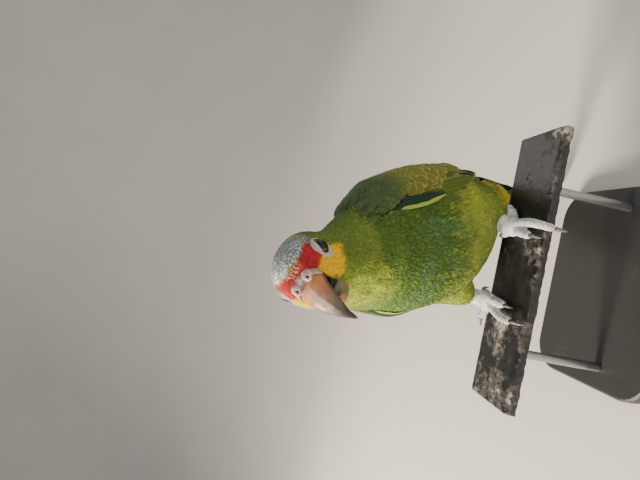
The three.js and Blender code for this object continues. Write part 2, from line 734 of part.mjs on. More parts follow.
// Feet: the shank with the ball of the foot, two toes forward and two back, and a claw on each.
for ( const [ name ] of SIDES ) {

	const { shank, toes } = LEGS[ name ];
	const foot = ( grow ) => legSweep( shank ).body( { rings: 7, sides: 9, grow } );
	addPiece( `foot_${ name }`, cutBy( foot( 0 ), [ thighBody( name, GAP ), trunkBody( GAP ) ] ), COLOURS.foot );
	const before = [ railBody( GAP ), foot( GAP ), thighBody( name, GAP ) ];
	for ( const [ place, one ] of Object.entries( toes ) ) {

		const whole = `${ name }_${ place }`;
		addPiece( `toe_${ whole }`, cutBy( toeBody( one, 0 ), before ), COLOURS.foot );
		const claw = cutBy( clawBody( one, 0 ), [ toeBody( one, GAP ), railBody( GAP ) ] );
		addPiece( `claw_${ whole }`, claw, COLOURS.claw, 0.4 );
		before.push( toeBody( one, GAP ) );

	}

}

// Perch and stand.
addPiece( 'perch_rail', railBody( 0 ), COLOURS.rail, 0.4, 0.3 );
addPiece( 'stand_base', baseBody(), COLOURS.base, 0.5 );
for ( const [ name, way ] of SIDES ) addPiece( `stand_rod_${ name }`, rodBody( way ), COLOURS.rod, 0.3, 1 );

export default parrot;
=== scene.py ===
# %% [markdown]
# # A red-lored Amazon on its rail
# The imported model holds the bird's true size and outline as plain solids. This notebook gives it
# its looks: one skin under everything, a coat of solid feathers that follows the lie of the plumage,
# wet eyes, horn, scaly feet, and the worn paint of the rail it grips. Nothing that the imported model
# places is moved: each piece takes its place from the nodes of the frame.

# %% Load the frame
import json
import math

import bpy
import numpy as np
from mathutils import Matrix, Vector, kdtree, noise
from mathutils.bvhtree import BVHTree

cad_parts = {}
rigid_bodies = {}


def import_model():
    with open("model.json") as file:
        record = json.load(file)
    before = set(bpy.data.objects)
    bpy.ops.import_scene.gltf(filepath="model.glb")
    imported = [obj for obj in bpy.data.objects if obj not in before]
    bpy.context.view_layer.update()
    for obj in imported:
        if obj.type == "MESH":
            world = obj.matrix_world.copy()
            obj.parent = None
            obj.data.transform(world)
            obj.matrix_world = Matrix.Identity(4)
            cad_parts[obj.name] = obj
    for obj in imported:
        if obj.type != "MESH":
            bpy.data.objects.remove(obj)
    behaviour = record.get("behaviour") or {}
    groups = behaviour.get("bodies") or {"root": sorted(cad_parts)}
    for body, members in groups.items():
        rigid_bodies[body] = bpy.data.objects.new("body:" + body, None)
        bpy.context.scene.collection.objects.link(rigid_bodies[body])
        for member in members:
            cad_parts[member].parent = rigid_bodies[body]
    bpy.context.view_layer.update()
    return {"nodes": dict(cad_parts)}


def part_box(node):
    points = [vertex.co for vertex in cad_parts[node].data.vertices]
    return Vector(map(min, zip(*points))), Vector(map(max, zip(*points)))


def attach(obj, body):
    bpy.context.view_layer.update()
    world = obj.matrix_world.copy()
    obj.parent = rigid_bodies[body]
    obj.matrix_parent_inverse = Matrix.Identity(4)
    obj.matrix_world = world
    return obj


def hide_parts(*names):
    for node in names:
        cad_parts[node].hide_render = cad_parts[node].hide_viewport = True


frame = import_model()
nodes = frame["nodes"]
MM = 0.001

# %% [markdown]
# ## Camera
# A camera is a place, a lens and three directions. This one looks slightly down at the bird from in
# front and is held on its side, so its picture has up on the left, and some degrees of roll make the
# rail slope. The directions are worked out from those two angles, and the lens is a wide one.

# %% Camera
LENS = 26.0
LOOK_DOWN = math.radians(7)
ROLL = math.radians(11.5)
CAMERA_FROM_RAIL = Vector((-9.6, -342.6, 197.2)) * MM
NEAREST_SEEN = 0.01


def middle_of(node):
    low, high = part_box(node)
    return (low + high) / 2


def added(operator, **settings):
    """The object that an operator adds, with nothing else selected."""
    bpy.ops.object.select_all(action="DESELECT")
    operator(**settings)
    return bpy.context.object


rail_low, rail_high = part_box("perch_rail")
rail_top = Vector((0, middle_of("perch_rail").y, rail_high.z))
above = Vector((0, math.sin(LOOK_DOWN), math.cos(LOOK_DOWN)))
across = Vector((1, 0, 0))
camera_x = math.sin(ROLL) * across - math.cos(ROLL) * above
camera_y = math.cos(ROLL) * across + math.sin(ROLL) * above
camera_z = across.cross(above)

camera = added(bpy.ops.object.camera_add, location=rail_top + CAMERA_FROM_RAIL)
camera.data.lens = LENS
camera.data.clip_start = NEAREST_SEEN
camera.rotation_euler = Matrix((camera_x, camera_y, camera_z)).transposed().to_euler()
bpy.context.scene.camera = camera
print("camera at", [round(v, 4) for v in camera.location])

# %% [markdown]
# ## Selecting, finishing and material helpers
# An operator acts on whatever is selected, so every step starts by choosing one object and nothing
# else. Materials are chains of nodes; a small class keeps each finish down to a few readable lines.

# %% Selecting and modifiers
def choose(*objects):
    """Leaves exactly these objects selected, the first one active."""
    if bpy.context.mode != "OBJECT":
        bpy.ops.object.mode_set(mode="OBJECT")
    bpy.ops.object.select_all(action="DESELECT")
    for one in objects:
        one.select_set(True)
    bpy.context.view_layer.objects.active = objects[0]


def modify(piece, kind, **settings):
    """Adds a modifier with these settings and applies it."""
    choose(piece)
    modifier = piece.modifiers.new(kind.title(), kind)
    for key, value in settings.items():
        setattr(modifier, key, value)
    bpy.ops.object.modifier_apply(modifier=modifier.name)


def edit_all(piece, operator, **settings):
    """Runs one mesh operator on the whole of one piece."""
    choose(piece)
    bpy.ops.object.mode_set(mode="EDIT")
    bpy.ops.mesh.select_all(action="SELECT")
    operator(**settings)
    bpy.ops.object.mode_set(mode="OBJECT")


def add_object(name, mesh):
    """Puts a mesh into the scene as an object."""
    piece = bpy.data.objects.new(name, mesh)
    bpy.context.scene.collection.objects.link(piece)
    return piece


def merged_copy(title, *names):
    """One object made of welded copies of CAD nodes."""
    copies = [add_object(name + "_copy", nodes[name].data.copy()) for name in names]
    choose(*copies)
    if len(copies) > 1:
        bpy.ops.object.join()
    piece = bpy.context.view_layer.objects.active
    piece.name = piece.data.name = title
    piece.data.materials.clear()
    edit_all(piece, bpy.ops.mesh.remove_doubles, threshold=1e-6)
    return piece


def remesh(piece, voxel, smooth=0):
    """Turns touching solids into one even surface, then relaxes it."""
    modify(piece, "REMESH", mode="VOXEL", voxel_size=voxel)
    if smooth:
        modify(piece, "SMOOTH", iterations=smooth, factor=0.5)


def read(items, key, width, kind=float):
    """One row of numbers for each item of a mesh."""
    out = np.empty(len(items) * width, kind)
    items.foreach_get(key, out)
    return out.reshape(-1, width)


def points_of(piece):
    return read(piece.data.vertices, "co", 3)


def normals_of(piece):
    return read(piece.data.vertex_normals, "vector", 3)


def place_points(piece, places):
    piece.data.vertices.foreach_set("co", np.asarray(places, float).ravel())
    piece.data.update()


def tree_of(piece):
    return BVHTree.FromObject(piece, bpy.context.evaluated_depsgraph_get())


def gaps_to(trees, points):
    """How far each point is from each tree's surface, in millimetres."""
    return np.array([[tree.find_nearest(p)[3] for p in points] for tree in trees]) / MM


def keep(piece, slot, material, *replaced, smooth_angle=None):
    """Gives a finished piece its material, rides it on the frame and hides the imported parts it replaces;
    the slot is not used.
    """
    piece.data.materials.clear()
    piece.data.materials.append(material)
    choose(piece)
    if smooth_angle is None:
        bpy.ops.object.shade_smooth()
    else:
        bpy.ops.object.shade_smooth_by_angle(angle=math.radians(smooth_angle))
    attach(piece, "root")
    if replaced:
        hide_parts(*replaced)
    print(f"{piece.name}: {len(piece.data.vertices)} points, {len(piece.data.polygons)} faces")
    return piece


# %% Materials
def colour(text):
    """A hex colour as linear red, green and blue."""
    parts = [int(text[i : i + 2], 16) / 255 for i in (0, 2, 4)]
    return np.array([v / 12.92 if v <= 0.04045 else ((v + 0.055) / 1.055) ** 2.4 for v in parts])


class Finish:
    """A node material, built step by step; constants are set on the shader's own sockets."""

    def __init__(self, name, **fixed):
        self.material = bpy.data.materials.new(name)
        self.material.use_nodes = True
        self.shader = self.material.node_tree.nodes["Principled BSDF"]
        for key, value in fixed.items():
            self.shader.inputs[key.replace("_", " ")].default_value = value

    def add(self, kind, inputs=None, **settings):
        node = self.material.node_tree.nodes.new("ShaderNode" + kind)
        for key, value in settings.items():
            setattr(node, key, value)
        for key, value in (inputs or {}).items():
            self.feed(node.inputs[key], value)
        return node

    def feed(self, socket, value):
        if isinstance(value, bpy.types.NodeSocket):
            self.material.node_tree.links.new(value, socket)
        elif isinstance(value, np.ndarray):
            socket.default_value = (*value, 1)
        else:
            socket.default_value = value

    def place(self):
        return self.add("TexCoord").outputs["Object"]

    def noise(self, scale, detail=4, rough=0.5, stretch=None):
        where = self.place()
        if stretch:
            where = self.add("Mapping", {"Vector": where, "Scale": stretch}).outputs[0]
        inputs = {"Vector": where, "Scale": scale, "Detail": detail, "Roughness": rough}
        return self.add("TexNoise", inputs).outputs["Fac"]

    def cells(self, scale, feature="F1"):
        node = self.add("TexVoronoi", {"Vector": self.place(), "Scale": scale}, feature=feature)
        return node.outputs["Distance"]

    def steps(self, value, *stops):
        """A ramp from (place, grey or colour) stops."""
        node = self.add("ValToRGB", {"Fac": value})
        ramp = node.color_ramp
        while len(ramp.elements) < len(stops):
            ramp.elements.new(1)
        for element, (place, tone) in zip(ramp.elements, stops):
            element.position = place
            element.color = (tone, tone, tone, 1) if np.isscalar(tone) else (*tone, 1)
        return node.outputs["Color"]

    def mix(self, amount, a, b, way="MIX"):
        node = self.add("Mix", data_type="RGBA", blend_type=way)
        for index, value in ((0, amount), (6, a), (7, b)):
            self.feed(node.inputs[index], value)
        return node.outputs[2]

    def patches(self, scale, detail, rough, low, high, most=1.0):
        """Noise turned into patches: none below low, full above high."""
        return self.steps(self.noise(scale, detail, rough), (low, 0.0), (high, most))

    def math(self, operation, *values):
        return self.add("Math", dict(enumerate(values)), operation=operation).outputs[0]

    def times(self, a, b):
        return self.math("MULTIPLY", a, b)

    def plus(self, a, b):
        return self.math("ADD", a, b)

    def minus(self, a, b):
        return self.math("SUBTRACT", a, b)

    def power(self, a, b):
        return self.math("POWER", a, b)

    def bump(self, height, strength, distance, under=None):
        inputs = {"Height": height, "Strength": strength, "Distance": distance}
        if under is not None:
            inputs["Normal"] = under
        return self.add("Bump", inputs).outputs["Normal"]

    def colour_of(self, attribute):
        return self.add("Attribute", attribute_name=attribute).outputs["Color"]

    def value_of(self, attribute):
        return self.add("Attribute", attribute_name=attribute).outputs["Fac"]

    def done(self, base=None, rough=None, normal=None):
        for key, value in (("Base Color", base), ("Roughness", rough), ("Normal", normal)):
            if value is not None:
                self.feed(self.shader.inputs[key], value)
        return self.material


# %% [markdown]
# ## Floor and light
# A pale floor that curves up into a back wall gives a plain studio. A warm lamp stands to the bird's
# right, as a low sun would, a wide weak one in front fills the shade, another lifts the back, and the
# world adds an even, pale sky. All of them are soft.

# %% Floor
FLOOR_REACH = 2.4
FLOOR_FORWARD = 1.2
SWEEP_RADIUS = 2.2
SWEEP_STEPS = 16
floor = added(bpy.ops.mesh.primitive_plane_add, size=FLOOR_REACH * 2, location=(0, -FLOOR_FORWARD, 0))
floor.name = "studio_floor"
bpy.ops.object.transform_apply(location=True)
bpy.ops.object.mode_set(mode="EDIT")
bpy.ops.mesh.select_mode(type="EDGE")
bpy.ops.mesh.select_all(action="DESELECT")
bpy.ops.object.mode_set(mode="OBJECT")
for edge in floor.data.edges:
    edge.select = all(floor.data.vertices[v].co.y > 0 for v in edge.vertices)
bpy.ops.object.mode_set(mode="EDIT")
bpy.ops.mesh.spin(
    steps=SWEEP_STEPS,
    angle=math.radians(-90),
    center=(0, FLOOR_REACH - FLOOR_FORWARD, SWEEP_RADIUS),
    axis=(1, 0, 0),
)
bpy.ops.mesh.extrude_region_move(TRANSFORM_OT_translate={"value": (0, 0, FLOOR_REACH)})
bpy.ops.object.mode_set(mode="OBJECT")
bpy.ops.object.shade_smooth_by_angle(angle=math.radians(30))
studio = Finish("studio_paper", Roughness=0.9, Specular_IOR_Level=0.2)
paper = studio.steps(studio.noise(2.0, 2), (0.3, colour("cfc9bd")), (0.7, colour("d4cec3")))
floor.data.materials.append(studio.done(paper))
print("floor top at", round(max(v.co.z for v in floor.data.vertices), 2), "m")


# %% Lights
LAMPS = {  # place and width in metres, watts, tint
    "key_light": ((-1.55, -0.1, 0.75), 0.45, 96, (1, 0.93, 0.82)),
    "fill_light": ((0.5, -1.4, 0.7), 1.6, 13, (0.95, 0.97, 1)),
    "back_light": ((0.7, 1.3, 1.2), 1.2, 7, (1, 0.97, 0.92)),
}
SKY_COLOUR = (0.92, 0.94, 1, 1)
SKY_STRENGTH = 0.4
for name, (place, width, watts, tint) in LAMPS.items():
    lamp = added(bpy.ops.object.light_add, type="AREA", location=place)
    lamp.name = name
    lamp.data.size = width
    lamp.data.energy = watts
    lamp.data.color = tint
    aim = (middle_of("trunk") - lamp.location).to_track_quat("-Z", "Y")
    lamp.rotation_euler = aim.to_euler()

world = bpy.data.worlds.new("pale_sky")
world.use_nodes = True
world.node_tree.nodes["Background"].inputs["Color"].default_value = SKY_COLOUR
world.node_tree.nodes["Background"].inputs["Strength"].default_value = SKY_STRENGTH
bpy.context.scene.world = world

# %% [markdown]
# ## The bird's own directions
# Feathers follow the bird and not the world, so the head gets its own frame (forward, left, up, in
# millimetres from between the eyes), and the body gets a line from the head to the tail. Both come
# from the nodes: the eyes give left, the cere gives forward, and thin slices of the trunk give the line.

# %% Head frame and body line
CERE_RISE = math.radians(4.7)
HEAD_UNIT = 1.04 * MM
EYE_AHEAD = 0.8


def unit(v):
    v = np.asarray(v, float)
    return v / np.maximum(np.linalg.norm(v, axis=-1, keepdims=True), 1e-12)


eye_left, eye_right = (np.array(middle_of(n)) for n in ("eye_left", "eye_right"))
head_left = unit(eye_left - eye_right)
to_cere = points_of(nodes["cere"]).mean(0) - (eye_left + eye_right) / 2
to_cere = unit(to_cere - head_left * (to_cere @ head_left))
across_cere = np.cross(to_cere, head_left)
head_forward = math.cos(CERE_RISE) * to_cere - math.sin(CERE_RISE) * across_cere
head_up = np.cross(head_forward, head_left)
head_middle = (eye_left + eye_right) / 2 - EYE_AHEAD * HEAD_UNIT * head_forward
HEAD_AXES = np.array([head_forward, head_left, head_up])


def in_head(points):
    """Forward, left and up of each point, in the head's own millimetres."""
    return (np.asarray(points) - head_middle) @ HEAD_AXES.T / HEAD_UNIT


def from_head(flu):
    return head_middle + np.asarray(flu, float) * HEAD_UNIT @ HEAD_AXES


tail_points = points_of(nodes["tail"])
tail_tip = tail_points[tail_points[:, 2].argsort()[:40]].mean(0)
body_way = unit(tail_tip - head_middle)
body_length = np.linalg.norm(tail_tip - head_middle)
flesh_points = np.vstack([points_of(nodes[n]) for n in ("head", "neck", "trunk", "tail")])
reach = (flesh_points - head_middle) @ body_way
SLICE = 12  # half the thickness of a slice through the body, in millimetres
LINE_PLACES = np.linspace(0, body_length, 13)
line_points = []
for place in LINE_PLACES:
    near = np.abs(reach - place) < SLICE * MM
    line_points.append((flesh_points[near].min(0) + flesh_points[near].max(0)) / 2)
line_points = np.array(line_points)
body_left = unit(np.array(middle_of("wing_left")) - np.array(middle_of("wing_right")))
body_left = unit(body_left - body_way * (body_left @ body_way))
body_back = unit(np.cross(body_left, body_way))


def along_body(points):
    """How far from the head (0) to the tail's tip (1), and the offsets to the left and the back."""
    points = np.asarray(points, float)
    s = (points - head_middle) @ body_way
    middle = np.stack([np.interp(s, LINE_PLACES, line_points[:, i]) for i in range(3)], -1)
    off = points - middle
    return s / body_length, off @ body_left / MM, off @ body_back / MM


print("head forward", head_forward.round(3), "left", head_left.round(3), "up", head_up.round(3))
print("body line", round(body_length, 3), "m towards", body_way.round(3), "back", body_back.round(3))

# %% [markdown]
# ## The outline
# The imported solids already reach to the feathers' tips. Welded, turned into one even surface and
# relaxed, they give the outline that the coat will fill: the feathers are laid along it, and the skin
# is the same surface drawn inwards. The outline itself is only a guide and isn't kept.

# %% Outline
SIDES = ("left", "right")
TOES = ("outer_front", "inner_front", "outer_rear", "inner_rear")
PLUMED = ["head", "neck", "trunk", "thigh_left", "thigh_right"]
WINGS = ["wing_left", "wing_right"]
FEET = [f"foot_{s}" for s in SIDES] + [f"toe_{s}_{t}" for s in SIDES for t in TOES]

OUTLINE_VOXEL = 1.4
OUTLINE_SMOOTHING = 36
OUTLINE_OUTWARDS = 0.45  # makes up for what the relaxing takes away
outline = merged_copy("outline", *PLUMED, *WINGS, "tail")
remesh(outline, OUTLINE_VOXEL * MM, smooth=OUTLINE_SMOOTHING)
modify(outline, "DISPLACE", strength=OUTLINE_OUTWARDS * MM, mid_level=0)
outline_tree = tree_of(outline)
outline_points = points_of(outline)
area = sum(f.area for f in outline.data.polygons)
print(f"outline: {len(outline_points)} points, {area * 1e4:.0f} square centimetres")

node_trees = {n: tree_of(merged_copy("guide", n)) for n in [*PLUMED, *WINGS, "tail"]}
for guide in [o for o in bpy.data.objects if o.name.startswith("guide")]:
    bpy.data.objects.remove(guide)


def nearest_node(points, names):
    """For each point, the place in names of the CAD node that is nearest."""
    return gaps_to([node_trees[n] for n in names], points).argmin(0)


# %% [markdown]
# ## The lie of the plumage
# Feathers grow backwards from the bill, run down the neck and body to the tail, part round the eyes
# and turn down the legs. One function gives that direction anywhere, laid flat on the surface.

# %% Lie
BILL_ROOT = from_head((19, 0, -3))
EYE_PULL = 11  # how far the eyes and the feet turn the feathers, in millimetres
LEG_PULL = 24
LEG_MIDDLE = np.array([0, 0, 0.02])
UNDER_FOOT = np.array([0, 0.004, -0.02])
foot_tops = {side: np.array(middle_of(f"foot_{side}")) for side in SIDES}
wing_ways = {}
for side in SIDES:
    wing = points_of(nodes[f"wing_{side}"])
    far = (wing - head_middle) @ body_way
    ends = wing[far < np.quantile(far, 0.08)].mean(0), wing[far > np.quantile(far, 0.97)].mean(0)
    wing_ways[side] = unit(ends[1] - ends[0])


def smooth(x, low, high):
    x = np.clip((np.asarray(x, float) - low) / (high - low), 0, 1)
    return x * x * (3 - 2 * x)


def band(x, low, full, ease, high):
    """Rises from low to full and falls again from ease to high."""
    return smooth(x, low, full) * (1 - smooth(x, ease, high))


def hump(x, middle, width):
    """One at the middle, and fading to nothing beyond this width on either side."""
    return np.exp(-(((x - middle) / width) ** 2))


def lie(points, normals):
    """The way a feather grows at each point."""
    points = np.asarray(points, float)
    f, l, u = in_head(points).T
    s = along_body(points)[0]
    from_bill = unit(points - BILL_ROOT)
    on_head = 1 - smooth(-f + 0.4 * np.minimum(0, u + 8), 12, 34)
    way = body_way + np.where(s[:, None] > 0.75, 0.1, 0.0) * body_back
    way = unit(way * (1 - on_head[:, None]) + from_bill * on_head[:, None])
    for eye in (eye_left, eye_right):
        off = points - eye
        near = hump(np.linalg.norm(off, axis=1), 0, EYE_PULL * MM)[:, None]
        way = unit(way + 0.9 * near * unit(off))
    for side in SIDES:
        gap = np.linalg.norm(points - foot_tops[side] - LEG_MIDDLE, axis=1)
        pull = hump(gap, 0, LEG_PULL * MM)[:, None]
        down = unit(foot_tops[side] + UNDER_FOOT - points)
        way = unit(way * (1 - pull) + down * pull)
    return unit(way - normals * np.sum(way * normals, axis=1, keepdims=True))


# %% Where the eyes look and their bare rings lie
EYE_RADIUS = float((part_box("eye_left")[1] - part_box("eye_left")[0]).z) / 2 / MM
LOOK = {"left": (0.27, 1, 0.14), "right": (0.27, -1, 0.14)}
BULGE = 0.3  # the lengths here are millimetres
RING_REACH = 6.7
RING_LEAN = 0.9
RING_STRETCH = 0.7
RING_POINT = 1.5
RING_DEEPEST = -6
RING_TILT = math.radians(45)


class EyeFrame:
    """An eye's middle, the way it looks, and the two directions round it."""

    def __init__(self, side):
        self.sign = 1 if side == "left" else -1
        self.at = np.array(middle_of(f"eye_{side}")) + head_left * self.sign * BULGE * MM
        self.look = unit(np.array(LOOK[side]) @ HEAD_AXES)
        self.front = unit(head_forward - self.look * (head_forward @ self.look))
        self.top = np.cross(self.look, self.front) * self.sign
        self.top *= np.sign(self.top @ head_up)

    def turns(self, points):
        """Distance from the line of sight, the angle round it (0 in front), and the height along it."""
        off = np.asarray(points) - self.at
        x, y = off @ self.front / MM, off @ self.top / MM
        return np.hypot(x, y), np.arctan2(y, x), off @ self.look / MM

    def edge(self, angle):
        """How far the bare ring reaches: drawn to a blunt point at its lower front corner."""
        corner = np.cos(angle + RING_TILT)
        stretch = RING_STRETCH * np.cos(2 * (angle + RING_TILT))
        lean = RING_LEAN * np.cos(angle + RING_TILT * 0.7)
        return RING_REACH + lean + stretch + RING_POINT * np.maximum(0, corner) ** 6


eyes = {side: EyeFrame(side) for side in SIDES}


def outside_ring(points):
    """Millimetres from each point to the nearest edge of a bare eye ring, negative inside it."""
    gaps = []
    for eye in eyes.values():
        reach, angle, height = eye.turns(points)
        gaps.append(np.where(height > RING_DEEPEST, reach - eye.edge(angle), np.inf))
    return np.min(gaps, axis=0)


print("eye radius", round(EYE_RADIUS, 2), "mm")
print("wings point", {side: way.round(2).tolist() for side, way in wing_ways.items()})

# %% [markdown]
# ## The skin
# One skin lies under the whole coat and is bare on the feet. It could be modelled by hand, but the
# solids already have the right shape, so their welded copies are cut back where only feathers reach,
# made into one surface, relaxed, and drawn inwards by the depth of the coat, which goes to nothing at
# the feet, the bill and the eyes.

# %% Skin
WING_FLESH = 0.62  # the share of a wing that has flesh in it
SKIN_VOXEL = 1.06
DEEPEST = 6  # the displacement of a point with full weight, in millimetres
skin_parts = []
for side in SIDES:
    arm = merged_copy(f"arm_{side}", f"wing_{side}")
    far = points_of(arm) @ wing_ways[side]
    stop = far.min() + WING_FLESH * (far.max() - far.min())
    cut = {"plane_co": wing_ways[side] * stop, "plane_no": wing_ways[side]}
    edit_all(arm, bpy.ops.mesh.bisect, **cut, clear_outer=True, use_fill=True)
    skin_parts.append(arm)
skin = merged_copy("skin", *PLUMED, *FEET)
choose(skin, *skin_parts)
bpy.ops.object.join()
remesh(skin, SKIN_VOXEL * MM, smooth=5)
bare_trees = [tree_of(nodes[n]) for n in (*FEET, "upper_beak", "lower_beak")]


DEPTH_LINE = ([0, 0.06, 0.15, 0.3, 0.62, 0.75], [1.1, 1.3, 2.2, 2.9, 2.9, 2.4])
RING_SUNK = 3.4


def coat_depth(points):
    """Depth of the coat in millimetres: thin on the head, thick on the body, none on bare parts."""
    points = np.asarray(points, float)
    s = along_body(points)[0]
    depth = np.interp(s, *DEPTH_LINE)
    bare = gaps_to(bare_trees, points).min(0)
    depth = np.minimum(depth, np.maximum(0, bare - 0.8) * 0.55)
    return depth + (RING_SUNK - depth) * smooth(-outside_ring(points), 0.2, 1.6)


skin_points = points_of(skin)
skin_tree = tree_of(skin)
inwards = -normals_of(skin)
walls = [skin_tree.ray_cast(Vector(p + 1e-4 * n), Vector(n), 0.05)[3] for p, n in zip(skin_points, inwards)]
thickness = np.array([0.05 if wall is None else wall for wall in walls]) / MM
depths = np.minimum(coat_depth(skin_points), thickness * 0.3)
skin.vertex_groups.new(name="Coat depth")
for i in np.flatnonzero(depths):
    skin.vertex_groups["Coat depth"].add([int(i)], float(depths[i] / DEEPEST), "REPLACE")
modify(skin, "DISPLACE", strength=-DEEPEST * MM, mid_level=0, vertex_group="Coat depth")
modify(skin, "SMOOTH", iterations=4, factor=0.5)
print("skin:", len(skin_points), "points, coat up to", round(depths.max(), 1), "mm deep")

# %% [markdown]
# ## An unwrap of the skin
# The skin's unwrap serves twice: it is the skin's own bake map, and every feather later takes a small
# patch of it at its root's place. Smart projection cuts the skin into flat islands by itself.

# %% Unwrap
ISLAND_TURN = math.radians(66)
ISLAND_GAP = 0.002
skin.data.uv_layers.new(name="OFBake")
edit_all(skin, bpy.ops.uv.smart_project, angle_limit=ISLAND_TURN, island_margin=ISLAND_GAP)
skin_tree = tree_of(skin)
skin_faces = skin.data.polygons
uv = read(skin.data.uv_layers["OFBake"].data, "uv", 2)
face_uv = np.array([uv[f.loop_start : f.loop_start + f.loop_total].mean(0) for f in skin_faces])
print("unwrap covers", uv.min(0).round(3), uv.max(0).round(3))

# %% [markdown]
# ## Markings
# The plumage pattern is one function of place, so that skin and coat always agree: red from the cere
# to the eyes and over the forehead, yellow cheeks, a crown of blue grey with white rims, and greens that
# change down the body. Every feather has two colours, its web and its edging, which is darker on the
# nape and paler on the crown and belly. Borders are ragged, as feathers are, by adding a little noise.
# Light is painted into some of these colours: shade darkens the breast on the bird's left and middle, and
# sunlight lightens the breast, the lime throat and the cheek on its right.

# %% Markings
RED = colour("b83430")
DEEP_RED = colour("94262a")
YELLOW = colour("e4b000")
SUNLIT_LEMON = colour("cdb000")
CROWN = colour("6c747a")
SLATE = colour("44525a")
CROWN_TIP = colour("f0eee0")
PALE_GREEN = colour("d2dc9c")
GREEN = colour("465f20")
LEAF = colour("5a7426")
LIME = colour("a5b02e")
OLIVE = colour("626b28")
NECK_OLIVE = colour("6a7a30")
MANTLE_GREEN = colour("364c2e")
SHADED_BREAST_GREEN = colour("526c2a")
BLUE_GREEN = colour("587a50")
BELLY_OLIVE = colour("8a9442")
VENT_YELLOW = colour("c8b41c")
DAPPLE = colour("e8d5a0")
NECK_END = 0.118  # places along the body, as shares of its line
BELLY_FROM = 0.3
BELLY_FULL = 0.4
RED_TOP = 11  # places on the head, in its own millimetres
RED_SIDE = 18.5
CHEEK_LOW = -18.5
CHEEK_FRONT = 19


def ragged(points, size, seed=0.0):
    """Smooth noise from -1 to 1, with features of this size in millimetres."""
    scale = 1 / (size * MM)
    return np.array([noise.noise(Vector(p * scale + seed)) for p in np.asarray(points, float)])


def blend(a, b, amount):
    """Goes from colour a to colour b by this amount, for each point."""
    amount = np.clip(np.asarray(amount, float), 0, 1)[:, None]
    return a * (1 - amount) + b * amount


